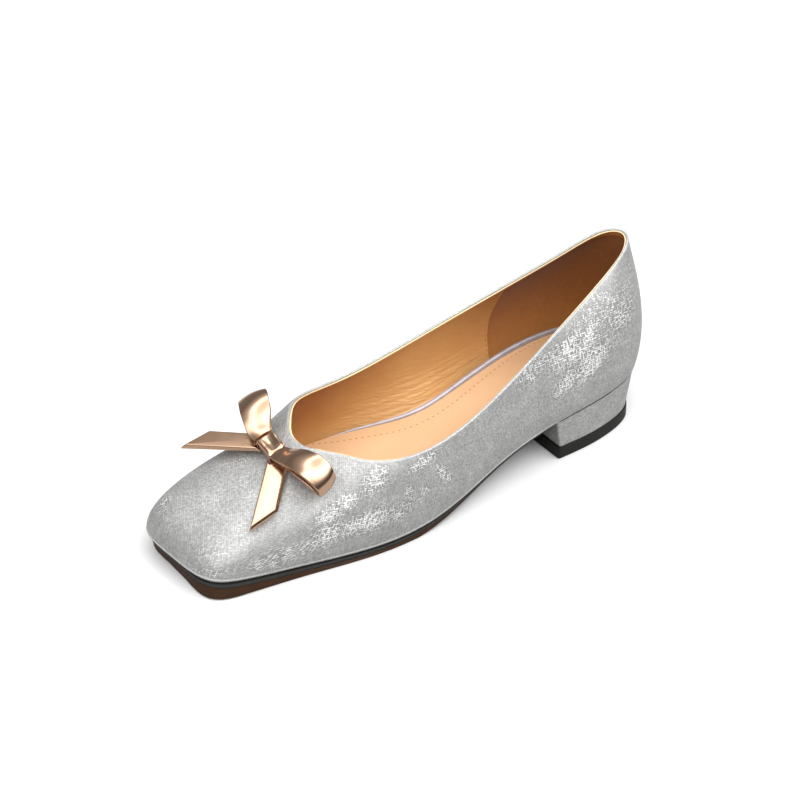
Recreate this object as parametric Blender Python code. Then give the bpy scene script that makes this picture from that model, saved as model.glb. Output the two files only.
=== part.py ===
"""Left square-toe pump with a low block heel and a cast metal bow.

Lengths below are in millimetres and are turned to metres when a mesh is made.
+X runs from heel to toe, +Y to the outer (lateral) side of the foot, +Z up.
"""

import bmesh
import bpy
import numpy as np
from mathutils import Vector
from mathutils.bvhtree import BVHTree

MM = 0.001

# Driving dimensions
SEAT_GAP = 0.3
UPPER_WALL = 1.9
TOPLINE_ROUND = 0.5
INSOLE_THICKNESS = 3.0
INSOLE_EASE = 0.5
HEEL_BREAST_X = 63.0
HEEL_TIP_HEIGHT = 6.0
HEEL_INSET_TOP = 0.4
TREAD_STEP = 0.3
LOOP_STRIP = 1.6
TAIL_PLATE = 1.2
TAIL_SWELL = 0.014

# Mesh fineness
RIB_COUNT = 112
WALL_ROWS = 11
SOLE_LANES = 4
LOOP_STEPS = 30
LOOP_LANES = 3
TAIL_BEVEL_STEPS = 2
SHARP_EDGE_DEG = 40

# One row for each rib of the last. A rib is a cubic curve from its foot on the
# feather edge to its top on the topline: it leaves the foot low_out outwards and
# low_up upwards, and reaches the top from high_out outwards and high_down below.
# The sole's edge lies sole_tuck inside the feather edge there, and the foot of the
# tread lies tread_tuck inside it (below zero where the tread flares out).
RIB_COLUMNS = ("foot_x", "foot_y", "top_x", "top_y", "top_z",
               "low_out", "low_up", "high_out", "high_down", "sole_tuck", "tread_tuck")
RIBS = {
    "heel_back":        (1.5, 3.0, 2.0, 0.5, 82.2, 5.0, 19.0, 2.5, 22.0, 1.0, 2.6),
    "heel_quarter_out": (9.0, 20.0, 6.8, 8.5, 81.2, 5.2, 19.0, 6.8, 18.0, 1.0, 2.6),
    "heel_side_out":    (30.0, 30.0, 24.5, 15.0, 74.0, 5.0, 20.0, 11.5, 13.0, 1.0, 2.6),
    "heel_breast_out":  (62.0, 31.5, 62.0, 23.0, 60.0, 4.0, 15.0, 6.0, 10.0, 1.0, 2.6),
    "waist_out":        (98.0, 33.5, 100.0, 30.5, 47.0, 3.0, 12.0, 4.0, 9.0, 0.6, 1.6),
    "ball_out":         (138.0, 39.5, 138.0, 34.0, 39.6, 3.0, 12.0, 4.5, 8.0, 0.2, 0.2),
    "joint_out":        (172.0, 37.5, 162.0, 29.5, 42.0, 3.4, 11.0, 8.5, 7.0, -0.1, -0.7),
    "toe_side_out":     (205.0, 30.5, 172.6, 20.0, 44.2, 4.1, 7.5, 11.5, 9.5, -0.3, -0.9),
    "toe_flank_out":    (228.0, 26.5, 177.4, 14.4, 44.7, 3.0, 8.0, 17.5, 15.0, -0.3, -0.9),
    "toe_corner_out":   (241.0, 21.0, 181.2, 8.2, 44.6, 2.6, 12.0, 16.5, 7.5, 0.0, -1.2),
    "toe_front":        (246.5, -2.0, 183.0, -0.3, 44.4, 1.9, 15.2, 29.1, 9.9, 1.6, 3.0),
    "toe_corner_in":    (244.0, -25.5, 181.2, -8.6, 44.4, 2.8, 18.1, 24.8, 10.5, 1.4, 2.4),
    "toe_flank_in":     (230.0, -31.5, 177.2, -15.0, 44.4, 2.4, 12.2, 15.6, 10.0, 0.8, 0.6),
    "toe_side_in":      (207.0, -35.5, 172.4, -21.0, 44.2, 2.5, 11.9, 8.2, 7.6, 0.6, 0.0),
    "joint_in":         (175.0, -40.0, 162.0, -29.5, 42.0, 2.5, 12.5, 6.8, 7.0, 0.4, 0.0),
    "ball_in":          (140.0, -36.5, 138.0, -33.0, 39.6, 3.2, 12.0, 4.5, 8.0, 0.6, 0.8),
    "waist_in":         (100.0, -23.5, 100.0, -29.5, 47.0, 4.0, 13.0, 2.0, 10.0, 0.8, 2.2),
    "heel_breast_in":   (62.0, -23.5, 62.0, -22.5, 60.0, 4.0, 15.0, 5.0, 10.0, 1.0, 2.6),
    "heel_side_in":     (30.0, -23.0, 24.5, -14.5, 73.6, 5.5, 20.0, 10.0, 13.0, 1.0, 2.6),
    "heel_quarter_in":  (9.0, -14.0, 6.8, -7.5, 81.2, 5.2, 19.0, 6.8, 18.0, 1.0, 2.6),
}
WRAPPED_RIBS = 3

# Side profile of the sole along the shoe: the height of the feather edge, the
# black layer's thickness and the depth from feather edge to tread. Both layers run
# from the heel breast to the toe.
SOLE_COLUMNS = ("x", "feather_z", "edge_thick", "tread_depth")
SOLE_PROFILE = (
    (0.0, 24.5, 1.2, 3.0),
    (30.0, 23.2, 1.2, 3.0),
    (62.0, 20.5, 1.2, 3.1),
    (90.0, 15.5, 1.4, 3.3),
    (120.0, 8.7, 1.8, 3.7),
    (150.0, 4.6, 2.2, 4.9),
    (175.0, 4.2, 2.3, 4.9),
    (200.0, 5.2, 2.6, 5.5),
    (225.0, 7.4, 2.9, 7.2),
    (247.0, 9.6, 3.0, 9.0),
)

# Foot of the heel: how far it lies in front of the seat, by the seat's x, and how it
# spreads across about the heel's middle. The tip is a little larger than that foot.
HEEL_FOOT_SHIFT = (
    (0.0, 8.4),
    (5.0, 6.9),
    (9.0, 5.0),
    (13.0, 3.7),
    (20.0, 3.3),
    (30.0, 3.2),
    (42.0, 1.9),
    (55.0, 0.2),
    (63.0, -1.4),
)
HEEL_MIDDLE = (36.0, 4.0)
HEEL_FOOT_SPREAD = (1.0, 1.025)
HEEL_TIP_SPREAD = (1.03, 1.01)

# The bow's own frame: its origin is the middle of the knot's top, x to the toe
# and z off the vamp. The angles follow the slope of the vamp.
BOW_CENTRE = (195.3, -1.5, 48.8)
BOW_ROLL_DEG = -6.8
BOW_PITCH_DEG = 19.4
BOW_YAW_DEG = -6.2

# Knot: the wrap's dished section from front to back (x, z), and the places across
# the bow where it is drawn, with how far it eases down there (y, drop).
KNOT_HALF_WIDTH = 5.7
KNOT_SECTION = (
    (4.3, -2.3),
    (4.0, -1.5),
    (2.6, -0.8),
    (1.2, -0.4),
    (0.3, -1.0),
    (-0.8, -1.3),
    (-1.8, -0.8),
    (-2.6, 0.1),
    (-3.5, 0.3),
    (-4.3, -0.7),
)
KNOT_LANES = (
    (-KNOT_HALF_WIDTH, 0.5),
    (-5.0, 0.0),
    (0.0, 0.25),
    (5.0, 0.0),
    (KNOT_HALF_WIDTH, 0.5),
)

# Loops: each strip's middle line as it leaves the knot, crowns, folds back and
# returns underneath (along, height, half_width, back). It swings back from straight
# out, and back is how far the strip's middle lies behind that line.
LOOP_SWING_DEG = 16.8
LOOP_FOLDS = {
    "left": (
        (0.0, -1.6, 4.0, -0.3),
        (3.6, -1.2, 5.2, -0.8),
        (8.2, 0.8, 6.4, 0.0),
        (13.0, 2.3, 6.9, 0.6),
        (17.5, 2.2, 7.0, 1.0),
        (21.2, 0.5, 6.9, 1.2),
        (23.4, -2.4, 6.7, 1.2),
        (23.2, -4.9, 6.4, 1.2),
        (21.0, -6.2, 6.1, 1.2),
        (15.5, -5.3, 5.6, 1.2),
        (9.5, -4.1, 5.0, 0.6),
        (3.8, -3.7, 4.5, 0.2),
        (0.0, -3.7, 4.1, 0.0),
    ),
    "right": (
        (0.0, -1.6, 4.1, 0.0),
        (4.4, -0.6, 4.6, 0.0),
        (9.8, 1.9, 5.3, 0.0),
        (15.8, 3.4, 5.8, 0.0),
        (21.3, 3.3, 6.0, 0.0),
        (25.7, 1.1, 6.0, 0.0),
        (28.6, -2.6, 6.0, 0.0),
        (28.3, -5.6, 5.9, 0.0),
        (25.1, -6.6, 5.7, 0.2),
        (18.5, -5.5, 5.4, 0.6),
        (11.4, -4.3, 5.0, 0.8),
        (4.4, -3.7, 4.4, 0.6),
        (0.0, -3.7, 4.1, 0.3),
    ),
}

# Tail: a flat plate in the bow's frame (x, y), its root notched round the knot. It
# thickens by TAIL_SWELL of the distance from its root.
TAIL_TOP = -4.9
TAIL_RIM_BEVEL = 0.35
TAIL_ROOT_FRONT = (4.6, 2.9)
TAIL_TIP = (30.5, 29.7)
TAIL_SHORT_CORNER = (15.6, 28.8)
TAIL_ROOT_REAR = (-3.5, 8.3)

# Surface colours, linear red, green and blue
SILVER = (0.52, 0.53, 0.53)
TAN = (0.71, 0.45, 0.27)
BLACK = (0.03, 0.03, 0.028)
BROWN = (0.05, 0.024, 0.012)
CHAMPAGNE = (0.72, 0.55, 0.42)


def clear_scene():
    """Remove every object that the scene starts with."""
    for thing in list(bpy.data.objects):
        bpy.data.objects.remove(thing, do_unlink=True)


def material(name, colour, roughness, metallic):
    """A plain surface of one colour."""
    made = bpy.data.materials.new(name)
    made.use_nodes = True
    shader = made.node_tree.nodes["Principled BSDF"]
    shader.inputs["Base Color"].default_value = (*colour, 1.0)
    shader.inputs["Roughness"].default_value = roughness
    shader.inputs["Metallic"].default_value = metallic
    return made


def spline(knots, values, queries):
    """Natural cubic curve through rows of values, read at the queried places."""
    knots = np.asarray(knots, float)
    values = np.asarray(values, float)
    queries = np.clip(queries, knots[0], knots[-1])
    steps = np.diff(knots)
    count = len(knots)
    system = np.eye(count)
    bends = np.zeros_like(values)
    for i in range(1, count - 1):
        system[i, i - 1:i + 2] = steps[i - 1], 2 * (steps[i - 1] + steps[i]), steps[i]
        ahead = (values[i + 1] - values[i]) / steps[i]
        behind = (values[i] - values[i - 1]) / steps[i - 1]
        bends[i] = 6 * (ahead - behind)
    bends = np.linalg.solve(system, bends)
    at = np.clip(np.searchsorted(knots, queries) - 1, 0, count - 2)
    step = steps[at][:, None]
    past = (queries - knots[at])[:, None]
    left = step - past
    cubic = (bends[at] * left ** 3 + bends[at + 1] * past ** 3) / (6 * step)
    low = (values[at] / step - bends[at] * step / 6) * left
    high = (values[at + 1] / step - bends[at + 1] * step / 6) * past
    return cubic + low + high


def sole_column(name, x):
    """One column of the sole's profile at the places x along the shoe."""
    table = np.array(SOLE_PROFILE)
    column = SOLE_COLUMNS.index(name)
    return spline(table[:, 0], table[:, column:column + 1], x)[:, 0]


def smooth_ribs():
    """The rib table, read at even steps round the closed last."""
    rows = np.array(list(RIBS.values()))
    looped = np.concatenate([rows[-WRAPPED_RIBS:], rows, rows[:WRAPPED_RIBS + 1]])
    foot_steps = np.linalg.norm(np.diff(looped[:, 0:2], axis=0), axis=1)
    top_steps = np.linalg.norm(np.diff(looped[:, 2:4], axis=0), axis=1)
    places = np.concatenate([[0.0], np.cumsum((foot_steps + top_steps) / 2)])
    start = places[WRAPPED_RIBS]
    end = places[WRAPPED_RIBS + len(rows)]
    table = spline(places, looped, np.linspace(start, end, RIB_COUNT, endpoint=False))
    return {name: table[:, i] for i, name in enumerate(RIB_COLUMNS)}


def outward(ring):
    """Plan direction pointing away from the shoe at each point of a closed ring."""
    along = np.roll(ring[:, :2], -1, axis=0) - np.roll(ring[:, :2], 1, axis=0)
    away = np.stack([-along[:, 1], along[:, 0]], axis=1)
    return away / np.linalg.norm(away, axis=1)[:, None]


def last_surface(rib):
    """Outer face of the upper: a grid of ribs, each from feather edge to topline."""
    foot = np.stack([rib["foot_x"], rib["foot_y"], sole_column("feather_z", rib["foot_x"])], axis=1)
    top = np.stack([rib["top_x"], rib["top_y"], rib["top_z"]], axis=1)
    away = np.pad(outward(foot), ((0, 0), (0, 1)))
    up = np.array([0.0, 0.0, 1.0])
    low = foot + away * rib["low_out"][:, None] + up * rib["low_up"][:, None]
    high = top + away * rib["high_out"][:, None] - up * rib["high_down"][:, None]
    t = np.linspace(0.0, 1.0, WALL_ROWS + 1)[None, :, None]
    curve = (1 - t) ** 3 * foot[:, None] + 3 * t * (1 - t) ** 2 * low[:, None]
    return curve + 3 * t ** 2 * (1 - t) * high[:, None] + t ** 3 * top[:, None]


def surface_normals(grid):
    """Unit normals of a closed grid of ribs, pointing out of the shoe."""
    around = np.roll(grid, -1, axis=0) - np.roll(grid, 1, axis=0)
    upward = np.gradient(grid, axis=1)
    normals = np.cross(upward, around)
    return normals / np.linalg.norm(normals, axis=2)[..., None]


def new_object(name, mesh_data, surface, parent):
    """Turn a bmesh in millimetres into a named, smooth, closed object."""
    bmesh.ops.recalc_face_normals(mesh_data, faces=mesh_data.faces)
    bmesh.ops.scale(mesh_data, vec=(MM, MM, MM), verts=mesh_data.verts)
    mesh = bpy.data.meshes.new(name)
    mesh_data.to_mesh(mesh)
    mesh_data.free()
    mesh.shade_smooth()
    mesh.set_sharp_from_angle(angle=np.radians(SHARP_EDGE_DEG))
    mesh.materials.append(surface)
    made = bpy.data.objects.new(name, mesh)
    bpy.context.collection.objects.link(made)
    made.parent = parent
    return made


def add_ring(mesh_data, points):
    """Vertices for a row of points."""
    return [mesh_data.verts.new(Vector(point)) for point in points]


def bridge(mesh_data, first, second, closed):
    """Faces between two rows of vertices, where a row may be a single point."""
    if len(first) == 1:
        first = first * len(second)
    if len(second) == 1:
        second = second * len(first)
    count = len(first) if closed else len(first) - 1
    for i in range(count):
        k = (i + 1) % len(first)
        corners = [first[i], first[k], second[k], second[i]]
        mesh_data.faces.new(list(dict.fromkeys(corners)))


def make_upper(rib, surface, parent):
    """Hollow lasted shell, open at the topline and underneath."""
    outer = last_surface(rib)
    normals = surface_normals(outer)
    inner = outer - normals * UPPER_WALL
    inner[:, 0, :2] = outer[:, 0, :2] - outward(outer[:, 0]) * UPPER_WALL
    inner[:, 0, 2] = outer[:, 0, 2]
    climb = outer[:, -1] - outer[:, -2]
    climb /= np.linalg.norm(climb, axis=1)[:, None]
    rim = (outer[:, -1] + inner[:, -1]) / 2 + climb * TOPLINE_ROUND
    shell = bmesh.new()
    rows = [outer[:, j] for j in range(WALL_ROWS + 1)]
    rows.append(rim)
    rows.extend(inner[:, j] for j in range(WALL_ROWS, -1, -1))
    rings = [add_ring(shell, row) for row in rows]
    for low, high in zip(rings, rings[1:] + rings[:1]):
        bridge(shell, low, high, closed=True)
    return new_object("upper", shell, surface, parent)


def cross_rows(ring):
    """Lines across a closed outline, from its outer side to its inner side."""
    half = len(ring) // 2
    share = np.linspace(0.0, 1.0, SOLE_LANES + 1)[:, None]
    rows = [ring[:1]]
    for i in range(1, half):
        rows.append(ring[i] + (ring[-i] - ring[i]) * share)
    rows.append(ring[half:half + 1])
    return rows


def cut_rows(rows, x, keep_toe):
    """The lines on one side of a straight cut across the shoe at x."""
    toe_side = [row for row in rows if row[0, 0] > x and row[-1, 0] > x]
    heel_side = [row for row in rows if row[0, 0] < x and row[-1, 0] < x]
    before = heel_side[-1]
    after = toe_side[0]
    share = (x - before[:, :1]) / (after[:, :1] - before[:, :1])
    cut = before + (after - before) * share
    return [cut] + toe_side if keep_toe else heel_side + [cut]


def at_height(rows, height):
    """Plan lines raised to a height that depends on x."""
    return [np.column_stack([row, height(row[:, 0])]) for row in rows]


def edge_loop(rows):
    """The closed border of a stack of lines, as one list."""
    border = [row[0] for row in rows]
    border.extend(rows[-1][1:])
    border.extend(row[-1] for row in rows[-2:0:-1])
    if len(rows[0]) > 1:
        border.extend(rows[0][:0:-1])
    return border


def solid_between(name, top_rows, foot_rows, surface, parent):
    """Closed solid with a top sheet, a bottom sheet and a wall between them."""
    body = bmesh.new()
    tops = [add_ring(body, row) for row in top_rows]
    feet = [add_ring(body, row) for row in foot_rows]
    for sheet in (tops, feet):
        for first, second in zip(sheet, sheet[1:]):
            bridge(body, first, second, closed=False)
    bridge(body, edge_loop(tops), edge_loop(feet), closed=True)
    return new_object(name, body, surface, parent)


def inset(ring, amount):
    """Plan outline drawn in from the feather edge."""
    return ring - outward(ring) * np.broadcast_to(amount, len(ring))[:, None]


def edge_top(x):
    """Top of the black layer, just under the feather edge."""
    return sole_column("feather_z", x) - SEAT_GAP


def edge_bottom(x):
    """Underside of the black layer."""
    return edge_top(x) - sole_column("edge_thick", x)


def tread_bottom(x):
    """Underside of the tread, on the floor under the ball."""
    return np.maximum(sole_column("feather_z", x) - sole_column("tread_depth", x), 0.0)


def make_insole(feather, surface, parent):
    """Padded sock that lies on the sole inside the upper."""
    rows = cross_rows(inset(feather, UPPER_WALL + INSOLE_EASE))
    foot = at_height(rows, lambda x: sole_column("feather_z", x))
    top = at_height(rows, lambda x: sole_column("feather_z", x) + INSOLE_THICKNESS)
    return solid_between("insole", top, foot, surface, parent)


def make_sole_edge(feather, tuck, surface, parent):
    """Black layer under the upper from the heel breast to the toe, tucked in at the waist."""
    rows = cross_rows(inset(feather, tuck))
    rows = cut_rows(rows, HEEL_BREAST_X + SEAT_GAP, keep_toe=True)
    return solid_between("sole_edge", at_height(rows, edge_top), at_height(rows, edge_bottom),
                         surface, parent)


def make_outsole(feather, tuck, foot_tuck, surface, parent):
    """Brown tread from the heel breast to the toe, flared at the sides of the forefoot."""
    sheets = []
    for amount in (tuck + TREAD_STEP, foot_tuck):
        rows = cross_rows(inset(feather, amount))
        sheets.append(cut_rows(rows, HEEL_BREAST_X + SEAT_GAP, keep_toe=True))
    top = at_height(sheets[0], lambda x: edge_bottom(x) - SEAT_GAP)
    return solid_between("outsole", top, at_height(sheets[1], tread_bottom), surface, parent)


def spread(row, shares):
    """Plan points drawn away from the heel's middle by shares in x and y."""
    return np.array(HEEL_MIDDLE) + (row - np.array(HEEL_MIDDLE)) * np.array(shares)


def heel_foot(row):
    """Plan points of the heel's foot under points of its seat."""
    table = np.array(HEEL_FOOT_SHIFT)
    shift = spline(table[:, 0], table[:, 1:], row[:, 0])
    return spread(row + np.pad(shift, ((0, 0), (0, 1))), HEEL_FOOT_SPREAD)


def make_heel(feather, cover, rubber, parent):
    """Covered heel block under the seat, and the rubber piece it stands on."""
    seat = cut_rows(cross_rows(inset(feather, HEEL_INSET_TOP)), HEEL_BREAST_X, keep_toe=False)
    foot = [heel_foot(row) for row in seat]
    tread = [spread(row, HEEL_TIP_SPREAD) for row in foot]
    top = at_height(seat, edge_top)
    base = at_height(foot, lambda x: np.full(len(x), HEEL_TIP_HEIGHT + SEAT_GAP))
    solid_between("heel_block", top, base, cover, parent)
    tip_top = at_height(tread, lambda x: np.full(len(x), HEEL_TIP_HEIGHT))
    tip_base = at_height(tread, np.zeros_like)
    solid_between("heel_tip", tip_top, tip_base, rubber, parent)


def bow_frame(parent):
    """Empty that carries the bow, sloped like the vamp."""
    frame = bpy.data.objects.new("bow_frame", None)
    bpy.context.collection.objects.link(frame)
    frame.parent = parent
    frame.location = Vector(BOW_CENTRE) * MM
    frame.rotation_euler = np.radians((BOW_ROLL_DEG, BOW_PITCH_DEG, BOW_YAW_DEG))
    return frame


def seat_on_vamp(vamp, frame, x, y):
    """Height in the bow's frame, just clear of the vamp under a point of the bow."""
    to_shoe = frame.matrix_basis
    start = to_shoe @ Vector((x * MM, y * MM, 0.0))
    down = to_shoe.to_quaternion() @ Vector((0.0, 0.0, -1.0))
    depth = vamp.ray_cast(start, down)[3]
    return SEAT_GAP - depth / MM


def make_knot(upper, frame, surface):
    """Wrap round the bow's middle with a dished top, standing on the vamp."""
    knot = bmesh.new()
    vamp = BVHTree.FromPolygons([v.co for v in upper.data.vertices],
                                [p.vertices for p in upper.data.polygons])
    front = KNOT_SECTION[0][0]
    back = KNOT_SECTION[-1][0]
    rings = []
    for y, drop in KNOT_LANES:
        section = [(x, y, z - drop) for x, z in KNOT_SECTION]
        section.extend((x, y, seat_on_vamp(vamp, frame, x, y)) for x in (back, 0.0, front))
        rings.append(add_ring(knot, section))
    for first, second in zip(rings, rings[1:]):
        bridge(knot, first, second, closed=True)
    for end in (rings[0], rings[-1]):
        knot.faces.new(end)
    return new_object("bow_knot", knot, surface, frame)


def make_loop(name, side, fold, frame, surface):
    """Folded hollow strip that leaves one side of the knot and comes back under."""
    table = np.array(fold)
    run = np.concatenate([[0.0], np.cumsum(np.linalg.norm(np.diff(table[:, :2], axis=0), axis=1))])
    path = spline(run, table, np.linspace(0.0, run[-1], LOOP_STEPS + 1))
    ahead = np.gradient(path[:, :2], axis=0)
    ahead /= np.linalg.norm(ahead, axis=1)[:, None]
    across = np.stack([-ahead[:, 1], ahead[:, 0]], axis=1) * LOOP_STRIP / 2
    swing = np.radians(LOOP_SWING_DEG)
    reach = table[:, 0].max()
    strip = bmesh.new()
    rings = []
    for (along, height, half_width, back), push in zip(path, across):
        turn = swing * min(max(along / reach, 0.0), 1.0)
        section = []
        for skin in (1, -1):
            out = along + push[0] * skin
            up = height + push[1] * skin
            for lane in np.linspace(-skin, skin, LOOP_LANES):
                x = -np.sin(swing) * out + lane * half_width * np.cos(turn) - back
                y = np.cos(swing) * out + lane * half_width * np.sin(turn)
                section.append((x, side * (KNOT_HALF_WIDTH + SEAT_GAP + max(y, 0.0)), up))
        rings.append(add_ring(strip, section))
    for first, second in zip(rings, rings[1:]):
        bridge(strip, first, second, closed=True)
    for end in (rings[0], rings[-1]):
        strip.faces.new(end)
    return new_object(name, strip, surface, frame)


def make_tail(name, side, frame, surface):
    """Flat plate with a slanted end, notched at its root round the knot's corner."""
    beside_knot = KNOT_HALF_WIDTH + SEAT_GAP
    outline = [TAIL_ROOT_FRONT, TAIL_TIP, TAIL_SHORT_CORNER, TAIL_ROOT_REAR,
               (TAIL_ROOT_REAR[0], beside_knot), (TAIL_ROOT_FRONT[0], beside_knot)]
    plate = bmesh.new()
    rims = [add_ring(plate, [(x, side * y, TAIL_TOP) for x, y in outline])]
    swell = [TAIL_SWELL * (x - TAIL_ROOT_FRONT[0] + y - TAIL_ROOT_FRONT[1]) for x, y in outline]
    low = [TAIL_TOP - TAIL_PLATE - more for more in swell]
    rims.append(add_ring(plate, [(x, side * y, z) for (x, y), z in zip(outline, low)]))
    bridge(plate, rims[0], rims[1], closed=True)
    for rim in rims:
        plate.faces.new(rim)
    tail = new_object(name, plate, surface, frame)
    rim_bevel = tail.modifiers.new("rim_bevel", "BEVEL")
    rim_bevel.width = TAIL_RIM_BEVEL * MM
    rim_bevel.segments = TAIL_BEVEL_STEPS
    return tail


def stand_on_origin(shoe):
    """Bring the middle of the shoe's box to the origin, with its tread on z = 0."""
    bpy.context.view_layer.update()
    corners = []
    for piece in bpy.data.objects:
        if piece.type == "MESH":
            corners.extend(piece.matrix_world @ v.co for v in piece.data.vertices)
    corners = np.array(corners)
    low = corners.min(axis=0)
    high = corners.max(axis=0)
    shoe.location = Vector((-(low[0] + high[0]) / 2, -(low[1] + high[1]) / 2, -low[2]))


def main():
    clear_scene()
    silver = material("silver_leather", SILVER, roughness=0.45, metallic=0.35)
    tan = material("tan_leather", TAN, roughness=0.55, metallic=0.0)
    black = material("black_rubber", BLACK, roughness=0.6, metallic=0.0)
    brown = material("brown_rubber", BROWN, roughness=0.6, metallic=0.0)
    champagne = material("champagne_metal", CHAMPAGNE, roughness=0.25, metallic=1.0)

    shoe = bpy.data.objects.new("shoe", None)
    bpy.context.collection.objects.link(shoe)
    rib = smooth_ribs()
    feather = np.stack([rib["foot_x"], rib["foot_y"]], axis=1)
    upper = make_upper(rib, silver, shoe)
    make_insole(feather, tan, shoe)
    make_sole_edge(feather, rib["sole_tuck"], black, shoe)
    make_outsole(feather, rib["sole_tuck"], rib["tread_tuck"], brown, shoe)
    make_heel(feather, silver, black, shoe)
    frame = bow_frame(shoe)
    make_knot(upper, frame, champagne)
    for name, side in (("left", -1), ("right", 1)):
        make_loop("bow_loop_" + name, side, LOOP_FOLDS[name], frame, champagne)
        make_tail("bow_tail_" + name, side, frame, champagne)
    stand_on_origin(shoe)


main()
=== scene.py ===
"""Looks of a left square-toe pump: scraped silver leather over a tan lining, a padded
insole with a rolled silver edge, a thin black and brown sole, a covered heel and a cast
champagne metal bow.

Lengths are in millimetres in the last's own frame: x from the heel end to the toe,
y to the outer side of the foot, z up from the floor.
"""

import math

import bpy
import numpy as np
from mathutils import Euler, Matrix, Vector
from mathutils.bvhtree import BVHTree


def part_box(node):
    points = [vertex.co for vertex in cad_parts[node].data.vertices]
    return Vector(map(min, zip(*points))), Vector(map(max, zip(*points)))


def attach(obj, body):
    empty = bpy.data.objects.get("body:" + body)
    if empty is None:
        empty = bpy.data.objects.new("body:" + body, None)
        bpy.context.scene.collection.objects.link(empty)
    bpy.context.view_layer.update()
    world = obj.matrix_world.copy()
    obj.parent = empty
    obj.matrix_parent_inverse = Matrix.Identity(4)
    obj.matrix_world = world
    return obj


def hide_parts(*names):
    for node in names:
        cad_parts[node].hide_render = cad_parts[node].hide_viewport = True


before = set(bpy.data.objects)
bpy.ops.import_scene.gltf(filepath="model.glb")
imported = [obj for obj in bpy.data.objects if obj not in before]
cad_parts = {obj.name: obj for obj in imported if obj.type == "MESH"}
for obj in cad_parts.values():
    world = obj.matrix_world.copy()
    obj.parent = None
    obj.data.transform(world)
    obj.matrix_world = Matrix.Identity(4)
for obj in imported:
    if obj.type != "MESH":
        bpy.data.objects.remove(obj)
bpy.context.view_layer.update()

MM = 0.001
MERGE_DISTANCE = 1e-6
SLIVER = 1e-7
SHARP_DEG = 40.0

# The last and the sole: the driving tables of the solids
RIB_COLUMNS = ("foot_x", "foot_y", "top_x", "top_y", "top_z",
               "low_out", "low_up", "high_out", "high_down", "sole_tuck", "tread_tuck")
RIBS = {
    "heel_back":        (1.5, 3.0, 2.0, 0.5, 82.2, 5.0, 19.0, 2.5, 22.0, 1.0, 2.6),
    "heel_quarter_out": (9.0, 20.0, 6.8, 8.5, 81.2, 5.2, 19.0, 6.8, 18.0, 1.0, 2.6),
    "heel_side_out":    (30.0, 30.0, 24.5, 15.0, 74.0, 5.0, 20.0, 11.5, 13.0, 1.0, 2.6),
    "heel_breast_out":  (62.0, 31.5, 62.0, 23.0, 60.0, 4.0, 15.0, 6.0, 10.0, 1.0, 2.6),
    "waist_out":        (98.0, 33.5, 100.0, 30.5, 47.0, 3.0, 12.0, 4.0, 9.0, 0.6, 1.6),
    "ball_out":         (138.0, 39.5, 138.0, 34.0, 39.6, 3.0, 12.0, 4.5, 8.0, 0.2, 0.2),
    "joint_out":        (172.0, 37.5, 162.0, 29.5, 42.0, 3.4, 11.0, 8.5, 7.0, -0.1, -0.7),
    "toe_side_out":     (205.0, 30.5, 172.6, 20.0, 44.2, 4.1, 7.5, 11.5, 9.5, -0.3, -0.9),
    "toe_flank_out":    (228.0, 26.5, 177.4, 14.4, 44.7, 3.0, 8.0, 17.5, 15.0, -0.3, -0.9),
    "toe_corner_out":   (241.0, 21.0, 181.2, 8.2, 44.6, 2.6, 12.0, 16.5, 7.5, 0.0, -1.2),
    "toe_front":        (246.5, -2.0, 183.0, -0.3, 44.4, 1.9, 15.2, 29.1, 9.9, 1.6, 3.0),
    "toe_corner_in":    (244.0, -25.5, 181.2, -8.6, 44.4, 2.8, 18.1, 24.8, 10.5, 1.4, 2.4),
    "toe_flank_in":     (230.0, -31.5, 177.2, -15.0, 44.4, 2.4, 12.2, 15.6, 10.0, 0.8, 0.6),
    "toe_side_in":      (207.0, -35.5, 172.4, -21.0, 44.2, 2.5, 11.9, 8.2, 7.6, 0.6, 0.0),
    "joint_in":         (175.0, -40.0, 162.0, -29.5, 42.0, 2.5, 12.5, 6.8, 7.0, 0.4, 0.0),
    "ball_in":          (140.0, -36.5, 138.0, -33.0, 39.6, 3.2, 12.0, 4.5, 8.0, 0.6, 0.8),
    "waist_in":         (100.0, -23.5, 100.0, -29.5, 47.0, 4.0, 13.0, 2.0, 10.0, 0.8, 2.2),
    "heel_breast_in":   (62.0, -23.5, 62.0, -22.5, 60.0, 4.0, 15.0, 5.0, 10.0, 1.0, 2.6),
    "heel_side_in":     (30.0, -23.0, 24.5, -14.5, 73.6, 5.5, 20.0, 10.0, 13.0, 1.0, 2.6),
    "heel_quarter_in":  (9.0, -14.0, 6.8, -7.5, 81.2, 5.2, 19.0, 6.8, 18.0, 1.0, 2.6),
}
WRAPPED_RIBS = 3
SOLE_COLUMNS = ("x", "feather_z", "edge_thick", "tread_depth")
SOLE_PROFILE = (
    (0.0, 24.5, 1.2, 3.0),
    (30.0, 23.2, 1.2, 3.0),
    (62.0, 20.5, 1.2, 3.1),
    (90.0, 15.5, 1.4, 3.3),
    (120.0, 8.7, 1.8, 3.7),
    (150.0, 4.6, 2.2, 4.9),
    (175.0, 4.2, 2.3, 4.9),
    (200.0, 5.2, 2.6, 5.5),
    (225.0, 7.4, 2.9, 7.2),
    (247.0, 9.6, 3.0, 9.0),
)
CAD_RIBS = 112
CAD_WALL_ROWS = 11
SEAT_GAP = 0.3
UPPER_WALL = 1.9
INSOLE_THICKNESS = 3.0
INSOLE_INSET = UPPER_WALL + 0.5
HEEL_BREAST_X = 63.0
HEEL_TIP_HEIGHT = 6.0
HEEL_INSET_TOP = 0.4
HEEL_FOOT_SHIFT = (
    (0.0, 8.4),
    (5.0, 6.9),
    (9.0, 5.0),
    (13.0, 3.7),
    (20.0, 3.3),
    (30.0, 3.2),
    (42.0, 1.9),
    (55.0, 0.2),
    (63.0, -1.4),
)
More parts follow.
